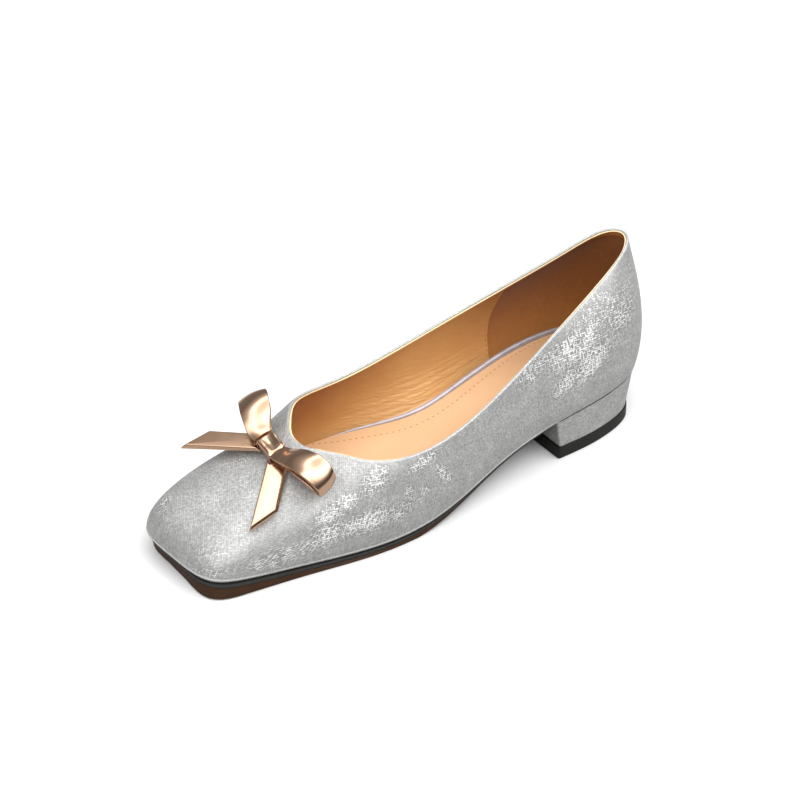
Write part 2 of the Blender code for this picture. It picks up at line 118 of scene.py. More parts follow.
HEEL_MIDDLE = (36.0, 4.0)
HEEL_FOOT_SPREAD = (1.0, 1.025)
HEEL_TIP_SPREAD = (1.03, 1.01)
TREAD_STEP = 0.3

# The wall is silver leather outside and lining inside; at the topline the leather
# folds over to SKIN_FOLD and hides most of the lining's cut edge
SKIN = 1.0
LINING_BACK = 1.05
SKIN_FOLD = 1.3
SKIN_FOLD_RISE = 0.75
LINING_EDGE = 1.36
LINING_EDGE_RISE = 0.3
LINING_EDGE_PROUD = 0.9
LIP_ROUND = 0.7
LIP_T = 0.015
LIP_BEAD = 0.2
LIP_BEAD_HEIGHT = 0.7
LIP_BEAD_HALF = 0.45
LIP_BEAD_BLEND = 12.0
# painted highlight: white laid along the bead at the upper's foot and over the topline fold
LIP_PAINTED_HIGHLIGHT = 0.6
FOLD_PAINTED_HIGHLIGHT = 0.15
LIP_ROWS = 14
LIP_ROWS_T = 0.09
DENSE_RIBS = 1600
DENSE_ROWS = 160
RIB_STEPS = 400
WALL_STEPS = 72
BACK_STEP = 6
ROUND_STEPS = 7
TOPLINE_BELOW = 0.97
VAMP_LEVEL = 0.45
VAMP_BLEND = 0.3

# Heel pocket: its front seam (x at a height above the floor), and how far the lining's
# rolled tape reaches down over it
POCKET_SEAM = ((20.0, 60.6), (27.0, 60.5), (35.0, 60.3), (43.0, 59.6), (51.0, 56.9), (59.0, 54.2))
TAPE_DEPTH = 2.4
TAPE_SHADOW = 0.004
POCKET_FACE = 1.4
POCKET_GAP = 0.12
POCKET_REACH = 0.2
POCKET_STEPS = 48
POCKET_LANES = 120
# painted light on the pocket: height over which it lightens towards the insole
POCKET_LIGHT_HEIGHT = 16.0
SEAM_TRIALS = 400
SEAM_REACH = (52.0, 63.0)
SEAM_RIBS = 60
LINING_STEPS = 66
SEAM_STITCH_SPAN = (0.08, 0.9)
SEAM_STITCH_AHEAD = 0.0028
SEAM_STITCH_PITCH = 2.6

# Lining at the inner arch: it bulges over the insole there and puckers into troughs
# (x and height of the middle above the insole, length, rise along the length, depth)
BULGE_X = 106.0
BULGE_LENGTH = 18.0
BULGE_HEIGHT = 8.0
BULGE_DEPTH = 2.0
WRINKLES = (
    (92.0, 3.2, 20.0, -0.02, 0.55),
    (104.0, 5.4, 22.0, 0.05, 0.60),
    (86.0, 7.6, 18.0, 0.02, 0.50),
    (117.0, 3.0, 15.0, 0.08, 0.50),
    (110.0, 8.4, 17.0, 0.03, 0.45),
    (97.0, 11.0, 18.0, 0.06, 0.40),
    (126.0, 5.6, 13.0, 0.10, 0.40),
    (83.0, 12.4, 14.0, 0.00, 0.32),
    (121.0, 10.6, 13.0, 0.06, 0.32),
    (107.0, 14.0, 15.0, 0.04, 0.28),
)
WRINKLE_HALF_WIDTH = 0.6
WRINKLE_SHARE = 0.45
OUTER_SIDE_WRINKLES = 0.5
CREASE_SPREAD = 2.0

# Painted light on the lining: paler over the arch, and low down near the insole
LINING_LIGHT_X = 98.0
LINING_LIGHT_LENGTH = 45.0
LINING_LIGHT_ARCH = 0.5
LINING_LIGHT_LOW = 0.55
LINING_LIGHT_HEIGHT = 9.0

# Insole: rolled silver edge (x, roll width, rise above the sock) and stitch line
# (x, distance inside the feather edge)
ROLL = ((-5.0, 2.0, 1.5), (20.0, 2.4, 2.0), (45.0, 2.9, 2.6), (75.0, 2.9, 2.2),
        (100.0, 2.5, 1.3), (125.0, 1.5, 0.8), (150.0, 0.5, 0.25))
ROLL_FRONT_X = 148.0
ROLL_STEPS = 260
ROLL_SIDES = 18
ROLL_TAPER = 14.0
ROLL_SUNK = 1.2
SOCK_DISH = 1.0
SOCK_DISH_WIDTH = 7.0
SOCK_FLAT_X = 130.0
SOCK_FLAT_BLEND = 30.0
SOCK_ROUND = 0.9
SOCK_LANES = 60
STITCH_LINE = ((0.0, 6.6), (30.0, 6.2), (45.0, 7.2), (62.0, 8.6), (85.0, 11.2),
               (110.0, 13.2), (130.0, 9.4), (142.0, 6.8), (152.0, 2.9))
STITCH_FRONT_X = 151.0
STITCH_PITCH = 2.8
STITCH_LENGTH = 1.5
STITCH_WIDTH = 0.62
STITCH_SEGMENTS = 10
STITCH_RINGS = 6
STITCH_SUNK = 0.12
STITCH_PATH_STEPS = 600

# Sole layers
GROOVE_SHARE = 0.42
GROOVE_INSET = 1.3
EDGE_ROUND = 0.3
TREAD_ROUND = 0.4
HEEL_SEAM_ROUND = 0.3
# dark slab in the heel seam: the sole board's edge and painted shade for the groove
HEEL_LINE = 0.75
HEEL_LINE_SUNK = 0.25
HEEL_LINE_INSET = 0.3
HEEL_SIDE_STEPS = 14
CUT_CORNER = 1.4
OUTLINE_STEPS = 520
SHEET_LANES = 10

# Bow: its own frame has its origin on the knot's top, x to the toe, z off the vamp
BOW_CENTRE = (195.3, -1.5, 48.8)
BOW_ANGLES_DEG = (-6.8, 19.4, -6.2)
KNOT_HALF_WIDTH = 5.7
KNOT_SECTION = (
    (4.3, -2.3), (4.15, -1.4), (3.7, -0.75), (3.1, -0.42), (2.5, -0.36), (1.9, -0.5), (1.2, -0.8),
    (0.5, -1.03), (-0.2, -1.1), (-1.2, -0.85), (-2.4, -0.4), (-3.6, 0.05), (-4.1, -0.1), (-4.3, -0.8),
)
KNOT_FLAT = -0.75
KNOT_LANES = ((-5.7, 0.5), (-5.0, 0.0), (0.0, 0.25), (5.0, 0.0), (5.7, 0.5))
KNOT_BEVEL = 0.3
KNOT_BEVEL_STEPS = 3
METAL_SHARP_DEG = 50.0
KNOT_RIM_X = 3.7
KNOT_STEPS = 40
KNOT_LANE_STEPS = 17
KNOT_FOOT_STEPS = 7
LOOP_SWING_DEG = 16.8
LOOP_STRIP = 1.6
LOOP_FOLDS = {
    "left": (
        (0.0, -1.6, 4.0, -0.3),
        (3.6, -1.2, 5.2, -0.8),
        (8.2, 0.8, 6.4, 0.0),
        (13.0, 2.2, 6.9, 0.6),
        (17.5, 1.8, 7.0, 1.0),
        (21.2, 0.2, 6.9, 1.2),
        (23.4, -2.4, 6.7, 1.2),
        (23.2, -4.9, 6.4, 1.2),
        (21.0, -6.2, 6.1, 1.2),
        (15.5, -5.3, 5.6, 1.2),
        (9.5, -4.1, 5.0, 0.6),
        (3.8, -3.7, 4.5, 0.2),
        (0.0, -3.7, 4.1, 0.0),
    ),
    "right": (
        (0.0, -1.6, 4.1, 0.0),
        (4.4, -0.6, 4.6, 0.0),
        (9.8, 1.9, 5.3, 0.0),
        (15.8, 3.4, 5.8, 0.0),
        (21.3, 3.3, 6.0, 0.0),
        (25.7, 1.1, 6.0, 0.0),
        (28.6, -2.6, 6.0, 0.0),
        (28.3, -5.6, 5.9, 0.0),
        (25.1, -6.6, 5.7, 0.2),
        (18.5, -5.5, 5.4, 0.6),
        (11.4, -4.3, 5.0, 0.8),
        (4.4, -3.7, 4.4, 0.6),
        (0.0, -3.7, 4.1, 0.3),
    ),
}
LOOP_STEPS = 120
LOOP_LANES = 12
STRIP_ROUND = 0.35
STRIP_ROUND_STEPS = 4
LOOP_CROWN = 0.9
LOOP_CROWN_RISE = 0.7
LOOP_TILT = 1.0
LOOP_CORNER = 1.3
LOOP_CORNER_POWER = 12
TAIL_TOP = -4.9
TAIL_PLATE = 1.2
TAIL_SWELL = 0.014
TAIL_OUTLINE = ((4.6, 2.9), (30.5, 29.7), (15.6, 28.8), (-3.5, 8.3))
TAIL_TWIST_DEG = 5.0
TAIL_LIFT = 0.25
TAIL_CORNER = 0.5
TAIL_CORNER_STEPS = 5
# Rim of the tail's plate: how far inside its outline, how far below its face
TAIL_RIM = ((1.2, 0.0), (1.0, 0.02), (0.82, 0.12), (0.66, 0.36), (0.48, 0.7), (0.3, 1.0), (0.16, 1.2))
TAIL_FOOT_ROUND = 0.2

# Scrapes on the silver leather: middle (x, y, z), half length along the shoe, half width,
# lean of the long axis in degrees (up towards the toe) and strength
SCRAPES = (
    (34.0, 22.0, 63.0, 22.0, 9.0, -16.0, 0.54),
    (52.0, 26.5, 54.0, 18.0, 8.0, -20.0, 0.80),
    (45.0, 31.0, 46.0, 16.0, 7.0, -28.0, 0.82),
    (60.0, 31.5, 40.0, 10.0, 4.5, -35.0, 0.80),
    (76.0, 27.0, 51.5, 14.0, 5.0, -25.0, 0.62),
    (24.0, 24.5, 58.0, 12.0, 9.0, -30.0, 0.55),
    (185.0, 32.0, 28.0, 15.0, 4.5, -18.0, 0.86),
    (172.0, 36.8, 19.5, 20.0, 5.5, -6.0, 0.84),
    (155.0, 40.0, 20.0, 9.0, 4.5, -25.0, 0.66),
    (193.0, 33.0, 17.0, 15.0, 5.0, -10.0, 0.80),
    (214.0, 29.5, 14.0, 17.0, 4.5, 0.0, 0.64),
    (165.0, 33.0, 37.0, 9.0, 5.5, -30.0, 0.70),
    (141.0, 35.6, 36.5, 10.0, 2.6, -12.0, 0.85),
    (132.0, 38.2, 27.0, 3.2, 6.0, -30.0, 0.85),
    (152.0, 38.8, 27.5, 2.6, 2.6, 0.0, 0.80),
    (143.0, 39.6, 24.5, 3.4, 3.0, 0.0, 0.75),
    (237.0, -21.0, 23.5, 5.0, 3.0, 0.0, 0.70),
    (216.0, 4.0, 33.0, 16.0, 12.0, -20.0, 0.14),
    (203.0, -12.0, 37.0, 7.0, 5.0, -20.0, 0.40),
    (238.0, 16.0, 16.0, 10.0, 9.0, -35.0, 0.40),
    (30.0, -21.0, 63.0, 16.0, 6.0, -18.0, 0.85),
    (55.0, -26.0, 47.0, 15.0, 5.0, -25.0, 0.85),
    (110.0, -29.5, 27.0, 15.0, 4.5, -15.0, 0.70),
    (168.0, -37.0, 22.0, 16.0, 4.0, -10.0, 0.90),
    (196.0, -34.0, 19.0, 12.0, 4.0, -12.0, 0.75),
)

# Camera of the photograph: direction from which it looks, distance and framing
CAMERA_TURN_DEG = 36.5
CAMERA_RISE_DEG = 36.3
CAMERA_TARGET = (121.5, 0.0, 30.0)
CAMERA_DISTANCE = 1250.0
SENSOR_MM = 36.0
IMAGE_PX = 800.0
FOCAL_PX = 2831.0
AXIS_PX = (411.0, 418.0)

# Stage: floor in metres, and the light by height over the horizon (sine, level), on the
# far side and on the camera's side of the shoe
FLOOR_SIZE = 8.0
FLOOR_DROP = -0.0002
SKY_STRENGTH = 4.8
FAR_BANDS = ((0.0, 0.20), (0.25, 0.28), (0.55, 0.20), (0.74, 0.50), (0.83, 0.90),
             (0.89, 4.2), (0.93, 4.2), (0.98, 1.8))
NEAR_BANDS = ((0.0, 0.05), (0.25, 0.09), (0.45, 0.28), (0.6, 2.7), (0.75, 4.8),
              (0.88, 3.6), (0.96, 1.8))
SIDE_BLEND = 0.25


def spline(knots, values, queries):
    """Natural cubic curve through rows of values, read at the queried places."""
    knots = np.asarray(knots, float)
    values = np.asarray(values, float)
    queries = np.clip(queries, knots[0], knots[-1])
    steps = np.diff(knots)
    count = len(knots)
    system = np.eye(count)
    bends = np.zeros_like(values)
    for i in range(1, count - 1):
        system[i, i - 1:i + 2] = steps[i - 1], 2 * (steps[i - 1] + steps[i]), steps[i]
        ahead = (values[i + 1] - values[i]) / steps[i]
        behind = (values[i] - values[i - 1]) / steps[i - 1]
        bends[i] = 6 * (ahead - behind)
    bends = np.linalg.solve(system, bends)
    at = np.clip(np.searchsorted(knots, queries) - 1, 0, count - 2)
    step = steps[at][:, None]
    past = (queries - knots[at])[:, None]
    left = step - past
    cubic = (bends[at] * left ** 3 + bends[at + 1] * past ** 3) / (6 * step)
    low = (values[at] / step - bends[at] * step / 6) * left
    high = (values[at + 1] / step - bends[at + 1] * step / 6) * past
    return cubic + low + high


def unit(vectors):
    """Vectors brought to length one."""
    return vectors / np.linalg.norm(vectors, axis=-1)[..., None]


def run_along(path):
    """Length run from a path's start to each of its points."""
    return np.concatenate([[0.0], np.cumsum(np.linalg.norm(np.diff(path, axis=0), axis=1))])


def share_past(value, start, length):
    """Rise from 0 to 1 over a length past a start."""
    return np.clip((value - start) / length, 0.0, 1.0)


def bell(offset, half):
    """Smooth hump of height 1 in the middle, of about a half width."""
    return np.exp(-(offset / half) ** 2)


def table_at(table, x, column=1):
    """One column of a table, whose rows start with their x, read between the rows."""
    rows = np.array(table)
    return np.interp(x, rows[:, 0], rows[:, column])


def eased(before, corner, after, u):
    """A corner's short curve from before to after, at shares u of the way."""
    return (1 - u) ** 2 * before + 2 * u * (1 - u) * corner + u ** 2 * after


def sole_column(name, x):
    """One column of the sole's profile at the places x along the shoe."""
    table = np.array(SOLE_PROFILE)
    column = SOLE_COLUMNS.index(name)
    flat = spline(table[:, 0], table[:, column:column + 1], np.ravel(x))[:, 0]
    return flat.reshape(np.shape(x))


def feather(points):
    """Height of the feather edge at places on the shoe."""
    return sole_column("feather_z", points[..., 0])


def smooth_ribs(shares):
    """The rib table, read at shares of the way round the closed last."""
    rows = np.array(list(RIBS.values()))
    looped = np.concatenate([rows[-WRAPPED_RIBS:], rows, rows[:WRAPPED_RIBS + 1]])
    places = (run_along(looped[:, 0:2]) + run_along(looped[:, 2:4])) / 2
    start = places[WRAPPED_RIBS]
    end = places[WRAPPED_RIBS + len(rows)]
    table = spline(places, looped, start + (end - start) * np.mod(shares, 1.0))
    return {name: table[:, i] for i, name in enumerate(RIB_COLUMNS)}


def outward(ring):
    """Plan direction pointing away from the shoe at each point of a closed ring."""
    along = np.roll(ring[:, :2], -1, axis=0) - np.roll(ring[:, :2], 1, axis=0)
    return unit(np.stack([-along[:, 1], along[:, 0]], axis=1))


def last_surface(rib, heights):
    """Outer face of the upper: a grid of ribs, each read at shares of its height."""
    foot = np.stack([rib["foot_x"], rib["foot_y"], sole_column("feather_z", rib["foot_x"])], axis=1)
    top = np.stack([rib["top_x"], rib["top_y"], rib["top_z"]], axis=1)
    away = np.pad(outward(foot), ((0, 0), (0, 1)))
    up = np.array([0.0, 0.0, 1.0])
    low = foot + away * rib["low_out"][:, None] + up * rib["low_up"][:, None]
    high = top + away * rib["high_out"][:, None] - up * rib["high_down"][:, None]
    t = np.broadcast_to(heights, (len(foot), np.shape(heights)[-1]))[..., None]
    curve = (1 - t) ** 3 * foot[:, None] + 3 * t * (1 - t) ** 2 * low[:, None]
    return curve + 3 * t ** 2 * (1 - t) * high[:, None] + t ** 3 * top[:, None]


def surface_normals(grid):
    """Unit normals of a closed grid of ribs, pointing out of the shoe."""
    around = np.roll(grid, -1, axis=0) - np.roll(grid, 1, axis=0)
    upward = np.gradient(grid, axis=1)
    return unit(np.cross(upward, around))


def even_shares(count):
    """Shares of the way round, evenly spread."""
    return np.arange(count) / count


def shoe_shift():
    """Where the last's own origin lies in the part's frame, from the upper's box."""
    solid = last_surface(smooth_ribs(even_shares(CAD_RIBS)), np.linspace(0, 1, CAD_WALL_ROWS + 1))
    return np.array(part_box("upper")[0]) - solid.min(axis=(0, 1)) * MM


SHIFT = shoe_shift()


def to_frame(points):
    """Millimetres on the last to metres in the part's frame."""
    return np.asarray(points) * MM + SHIFT


# Making pieces


def finish_piece(piece, name, surface, slot, *nodes):
    """Name a modelled piece, give it its surface and let it stand for its solids."""
    piece.name = name
    piece.data.name = name
    piece.data.materials.clear()
    piece.data.materials.append(surface)
    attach(piece, "root")
    if nodes:
        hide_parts(*nodes)
    return piece


def edit_all(*steps):
    """Run edit mode operators on the whole active mesh, each with its settings."""
    bpy.ops.object.mode_set(mode="EDIT")
    bpy.ops.mesh.select_all(action="SELECT")
    for operator, settings in steps:
        operator(**settings)
    bpy.ops.object.mode_set(mode="OBJECT")


def shaped_grid(points, maps=None, fields=None, sharp_deg=SHARP_DEG):
    """Add a grid, move its vertices to rows of points, and merge where rows meet.

    maps are flat coordinates in millimetres and fields are values, both by vertex.
    """
    rows, columns = points.shape[:2]
    bpy.ops.object.select_all(action="DESELECT")
    bpy.ops.mesh.primitive_grid_add(x_subdivisions=columns - 1, y_subdivisions=rows - 1, size=2.0)
    piece = bpy.context.active_object
    mesh = piece.data
    start = np.empty(len(mesh.vertices) * 3)
    mesh.vertices.foreach_get("co", start)
    start = start.reshape(-1, 3)
    column = np.rint((start[:, 0] + 1) / 2 * (columns - 1)).astype(int)
    row = np.rint((start[:, 1] + 1) / 2 * (rows - 1)).astype(int)
    mesh.vertices.foreach_set("co", to_frame(points[row, column]).ravel())
    corners = np.empty(len(mesh.loops), int)
    mesh.loops.foreach_get("vertex_index", corners)
    for name, flat in (maps or {}).items():
        layer = mesh.uv_layers.new(name=name)
        layer.uv.foreach_set("vector", flat[row, column][corners].ravel().astype(np.float32))
    for name, values in (fields or {}).items():
        field = mesh.attributes.new(name, "FLOAT", "POINT")
        field.data.foreach_set("value", values[row, column].astype(np.float32))
    edit_all((bpy.ops.mesh.remove_doubles, {"threshold": MERGE_DISTANCE}),
             (bpy.ops.mesh.dissolve_degenerate, {"threshold": SLIVER}),
             (bpy.ops.mesh.normals_make_consistent, {"inside": False}))
    bpy.ops.object.shade_smooth_by_angle(angle=math.radians(sharp_deg))
    return piece


def add_modifier(piece, kind, **settings):
    """Add a modifier with its settings and apply it."""
    bpy.context.view_layer.objects.active = piece
    modifier = piece.modifiers.new(kind.lower(), kind)
    for key, value in settings.items():
        setattr(modifier, key, value)
    bpy.ops.object.modifier_apply(modifier=modifier.name)


def closed_round(rows):
    """Rows of rings with the first rib repeated at the end of each."""
    return np.concatenate([rows, rows[:, :1]], axis=1)


def closed_section(rows, back):
    """Rows of a wall piece, carried down its back and closed at its start."""
    down = range(back.shape[1] - 1 - BACK_STEP, -1, -BACK_STEP)
    return closed_round(np.array([*rows, *(back[:, j] for j in down), rows[0]]))


def quarter_round(steps=ROUND_STEPS):
    """Sines and cosines of a quarter turn, as (turn, rest) pairs from 0 to 1."""
    angles = np.linspace(0.0, math.pi / 2, steps)
    return np.stack([np.sin(angles), np.cos(angles)], axis=1)


# Materials


def colour(hex_code):
    """sRGB hex to linear red, green, blue and alpha."""
    parts = [int(hex_code[i:i + 2], 16) / 255 for i in (1, 3, 5)]
    linear = [p / 12.92 if p <= 0.04045 else ((p + 0.055) / 1.055) ** 2.4 for p in parts]
    return (*linear, 1.0)


def node(tree, kind, inputs=None, **settings):
    """Add a node with its settings; inputs are values or other nodes' outputs."""
    made = tree.nodes.new(kind)
    for key, value in settings.items():
        setattr(made, key, value)
    for key, value in (inputs or {}).items():
        if isinstance(value, bpy.types.NodeSocket):
            tree.links.new(value, made.inputs[key])
        else:
            made.inputs[key].default_value = value
    return made


def new_material(name, roughness, metallic=0.0, ior=1.5, **sockets):
    """A Principled material with its constant values set."""
    made = bpy.data.materials.new(name)
    made.use_nodes = True
    shader = made.node_tree.nodes["Principled BSDF"]
    shader.inputs["Roughness"].default_value = roughness
    shader.inputs["Metallic"].default_value = metallic
    shader.inputs["IOR"].default_value = ior
    for key, value in sockets.items():
        shader.inputs[key.replace("_", " ")].default_value = value
    return made, made.node_tree, shader


MIX_A = 6
MIX_B = 7
MIX_COLOUR = 2


def attribute(tree, name):
    """A field that the piece carries by vertex."""
    return node(tree, "ShaderNodeAttribute", attribute_name=name).outputs["Fac"]


def noise(tree, size_mm, detail, **inputs):
    """Noise in the piece's own space, in spots of about a size."""
    place = node(tree, "ShaderNodeTexCoord").outputs["Object"]
    inputs.update({"Vector": place, "Scale": 1 / (size_mm * MM), "Detail": detail})
    return node(tree, "ShaderNodeTexNoise", inputs).outputs["Fac"]


def maths(tree, operation, *values, **settings):
    """One sum of values and sockets."""
    return node(tree, "ShaderNodeMath", dict(enumerate(values)), operation=operation, **settings).outputs[0]


def ranged(tree, value, source=(0.0, 1.0), target=(0.0, 1.0), kind="LINEAR"):
    """A value moved from one range to another."""
    inputs = {"Value": value, "From Min": source[0], "From Max": source[1],
              "To Min": target[0], "To Max": target[1]}
    return node(tree, "ShaderNodeMapRange", inputs, interpolation_type=kind).outputs[0]


def blended(tree, share, first, second):
    """Two colours, each a hex code or a socket, mixed by a share."""
    ends = [colour(end) if isinstance(end, str) else end for end in (first, second)]
    inputs = {0: share, MIX_A: ends[0], MIX_B: ends[1]}
    return node(tree, "ShaderNodeMix", inputs, data_type="RGBA").outputs[MIX_COLOUR]


def dress(tree, shader, base, relief=None, strength=0.0, depth_mm=0.0):
    """Lead a colour, and a relief where there is one, into the shader."""
    tree.links.new(base, shader.inputs["Base Color"])
    if relief is not None:
        inputs = {"Height": relief, "Strength": strength, "Distance": depth_mm * MM}
        bump = node(tree, "ShaderNodeBump", inputs)
        tree.links.new(bump.outputs["Normal"], shader.inputs["Normal"])


def clouded(name, tones, cloud, grain=None, gloss=None, **constants):
    """A material that drifts between two tones.

    cloud is the noise's size in millimetres and its detail, grain the same for the relief
    with its strength and depth, and gloss the range of roughness that follows the cloud.
    """
    made, tree, shader = new_material(name, **constants)
    drift = noise(tree, *cloud)
    base = blended(tree, drift, *tones)
    if grain is None:
        dress(tree, shader, base)
    else:
        dress(tree, shader, base, noise(tree, *grain[:2]), *grain[2:])
    if gloss is not None:
        tree.links.new(ranged(tree, drift, target=gloss), shader.inputs["Roughness"])
    return made


# Silver leather: threads and their unbroken runs in millimetres, sizes of its noise, and
# the levels at which a scrape dulls the foil and then whitens the threads
THREAD_PITCH = 0.85
THREAD_WOBBLE = 2.2
THREAD_BREAK = (0.40, 0.60)
WALL_THREAD_RUN = 1.7
VAMP_THREAD_RUN = 1.4
WAVE_TURNS = 20.0
VAMP_WEAVE_TURN_DEG = 36.0
CLOUD_MM = 7.0
GRIT_MM = 0.85
CLOUD_REACH = 1.2
GRIT_REACH = 1.4
GRAIN_REACH = 0.9
DULL_LEVELS = (0.78, 1.22)
DULL_SHARE = 0.5
WHITE_LEVELS = (2.05, 2.95)
HATCH_TONE = 0.4
CLOUD_TONE = 0.6
TONE_LEVELS = (0.70, 1.32)
FOIL_GLOSS = (0.45, 0.55)
WEAR_AND_HIGHLIGHT_RELIEF = 0.6

# Lining and pocket: how much of the noise shows in the tone and in the relief
LINING_MOTTLE = 0.25
PORE_RELIEF = 0.12
PUCKER_MM = (7.0, 4.0, 1.0)
NAP_TONE = 0.5
POCKET_LEVELS = (0.0, 1.5)


def weave(tree, flat, turn_deg, run):
    """Two families of threads across each other on a flat map in millimetres, as one height."""
    place = node(tree, "ShaderNodeUVMap", uv_map=flat)
    turned = node(tree, "ShaderNodeMapping",
                  {"Vector": place.outputs["UV"], "Rotation": (0.0, 0.0, math.radians(turn_deg))})
    families = []
    for direction, sizes in (("Y", (run, THREAD_PITCH)), ("X", (THREAD_PITCH, run))):
        waves = {"Vector": turned.outputs["Vector"], "Scale": 2 * math.pi / (WAVE_TURNS * THREAD_PITCH),
                 "Distortion": THREAD_WOBBLE, "Detail": 2.0, "Detail Scale": 1.6}
        thread = node(tree, "ShaderNodeTexWave", waves, bands_direction=direction)
        scaled = node(tree, "ShaderNodeMapping",
                      {"Vector": turned.outputs["Vector"], "Scale": (1 / sizes[0], 1 / sizes[1], 1.0)})
        breaks = {"Vector": scaled.outputs["Vector"], "Scale": 1.0, "Detail": 1.0}
        broken = node(tree, "ShaderNodeTexNoise", breaks, noise_dimensions="2D")
        shown = ranged(tree, broken.outputs["Fac"], THREAD_BREAK)
        families.append(maths(tree, "MULTIPLY", thread.outputs["Fac"], shown))
    return maths(tree, "MAXIMUM", *families)


def silver_leather():
    """Foil-laminated cowhide with a linen emboss, scraped by hand.

    The foil gives a soft neutral sheen. A scrape dulls it and turns the raised threads
    almost white. The threads of the photograph are about half a millimetre apart and are
    drawn coarser so that they show.
    """
    made, tree, shader = new_material("foiled_cowhide_linen_emboss", roughness=0.45, metallic=0.42)
    hatch = node(tree, "ShaderNodeMix",
                 {"Factor": attribute(tree, "vamp"), 2: weave(tree, "wall_mm", 0.0, WALL_THREAD_RUN),
                  3: weave(tree, "vamp_mm", VAMP_WEAVE_TURN_DEG, VAMP_THREAD_RUN)}).outputs[0]
    cloud = noise(tree, CLOUD_MM, detail=5.0, Roughness=0.65)
    grit = noise(tree, GRIT_MM, detail=3.0, Roughness=0.7)
    reach = maths(tree, "MULTIPLY_ADD", cloud, CLOUD_REACH, attribute(tree, "scrape"))
    dull = maths(tree, "MULTIPLY", ranged(tree, reach, DULL_LEVELS, kind="SMOOTHSTEP"), DULL_SHARE)
    grain = maths(tree, "MULTIPLY_ADD", grit, GRIT_REACH, hatch)
    exposed = maths(tree, "MULTIPLY_ADD", grain, GRAIN_REACH, reach)
    white = ranged(tree, exposed, WHITE_LEVELS, kind="SMOOTHSTEP")
    # white of the scraped threads, joined with the painted highlight on the lip bead and topline fold
    wear_and_painted_highlight = maths(tree, "MAXIMUM", white, attribute(tree, "lip"))
    fine = maths(tree, "MULTIPLY_ADD", hatch, HATCH_TONE, grit)
    mottled = maths(tree, "MULTIPLY_ADD", cloud, CLOUD_TONE, fine)
    foil = blended(tree, ranged(tree, mottled, TONE_LEVELS), "#8e8e8d", "#bebebd")
    # foil dulled and whitened by the scrapes, plus the painted highlight on the lip bead and fold
    scraped = blended(tree, wear_and_painted_highlight, blended(tree, dull, foil, "#848483"), "#f8f8f7")
    relief = maths(tree, "MULTIPLY_ADD", wear_and_painted_highlight, WEAR_AND_HIGHLIGHT_RELIEF, fine)
    dress(tree, shader, scraped, relief, strength=0.4, depth_mm=0.2)
    tree.links.new(ranged(tree, wear_and_painted_highlight, target=FOIL_GLOSS), shader.inputs["Roughness"])
    return made


def lining_leather():
    """Drum-dyed pigskin lining: matte tan with painted light, paler over the arch and low down, puckered,
    cream where it is cut.
    """
    made, tree, shader = new_material("drum_dyed_pigskin_lining", roughness=0.5)
    mottle = noise(tree, size_mm=14.0, detail=3.0)
    # random mottle added to the painted light
    mottle_and_painted_light = maths(tree, "MULTIPLY_ADD", mottle, LINING_MOTTLE, attribute(tree, "pale"), use_clamp=True)
    tan = blended(tree, mottle_and_painted_light, "#915014", "#cd9d63")
    place = node(tree, "ShaderNodeTexCoord").outputs["Object"]
    stretched = node(tree, "ShaderNodeMapping",
                     {"Vector": place, "Scale": [1 / (size * MM) for size in PUCKER_MM]})
    pucker = node(tree, "ShaderNodeTexNoise",
                  {"Vector": stretched.outputs["Vector"], "Scale": 1.0, "Detail": 2.0, "Distortion": 0.6})
    depth = maths(tree, "MULTIPLY", pucker.outputs["Fac"], attribute(tree, "crease"))
    relief = maths(tree, "MULTIPLY_ADD", noise(tree, size_mm=0.9, detail=2.0), PORE_RELIEF, depth)
    cut = blended(tree, attribute(tree, "edge"), tan, "#fbe3b4")
    dress(tree, shader, cut, relief, strength=0.7, depth_mm=0.9)
    return made


def pocket_suede():
    """Brushed split suede of the heel pocket: brown, with painted light paler low down, dull, with a short
    nap.
    """
    made, tree, shader = new_material("brushed_split_suede", roughness=0.85, Sheen_Weight=0.1,
                                      Sheen_Roughness=0.5)
    nap = noise(tree, size_mm=2.2, detail=5.0, Roughness=0.65)
    nap_and_painted_light = maths(tree, "MULTIPLY_ADD", nap, NAP_TONE, attribute(tree, "low"))
    brown = blended(tree, ranged(tree, nap_and_painted_light, POCKET_LEVELS), "#6e390a", "#b67838")
    dress(tree, shader, brown, nap, strength=0.3, depth_mm=0.3)
    return made


def sock_leather():
    """Glazed sheepskin sock over foam: light peach tan, smooth with a faint pore."""
    return clouded("glazed_sheepskin_sock", ("#cda074", "#d4ac85"), cloud=(22.0, 3.0),
                   grain=(1.0, 3.0, 0.12, 0.2), roughness=0.48)


def roll_leather():
    """Smooth foiled sheepskin of the insole's rolled edge: pale silver with a lilac cast."""
    return clouded("foiled_sheepskin_roll", ("#98949b", "#c2bfc6"), cloud=(4.0, 3.0),
                   grain=(4.0, 3.0, 0.25, 0.3), roughness=0.42, metallic=0.45)


def moulded_rubber(name, tones, roughness, grain_mm):
    """Moulded rubber: dull, with a faint cloudiness and a fine mould grain."""
    return clouded(name, tones, cloud=(8.0, 4.0), grain=(grain_mm, 2.0, 0.15, 0.2), roughness=roughness,
                   Specular_IOR_Level=0.25)


def waxed_thread():
    """Waxed linen thread: light brown, dull, with a twist too fine to draw."""
    return clouded("waxed_linen_thread", ("#a06c3a", "#bd874e"), cloud=(0.5, 2.0), roughness=0.6)


def champagne_plate():
    """Zinc casting, satin polished and champagne plated: clear broad reflections."""
    return clouded("champagne_plated_zinc", ("#c4a186", "#d0ad92"), cloud=(6.0, 2.0),
                   gloss=(0.18, 0.24), roughness=0.21, metallic=1.0)


# The wall that every upper piece is cut from


dense_wall = last_surface(smooth_ribs(even_shares(DENSE_RIBS)), np.linspace(0, 1, DENSE_ROWS + 1))
dense_normals = surface_normals(dense_wall)
dense_feather = dense_wall[:, 0, :2]
feather_away = outward(dense_feather)


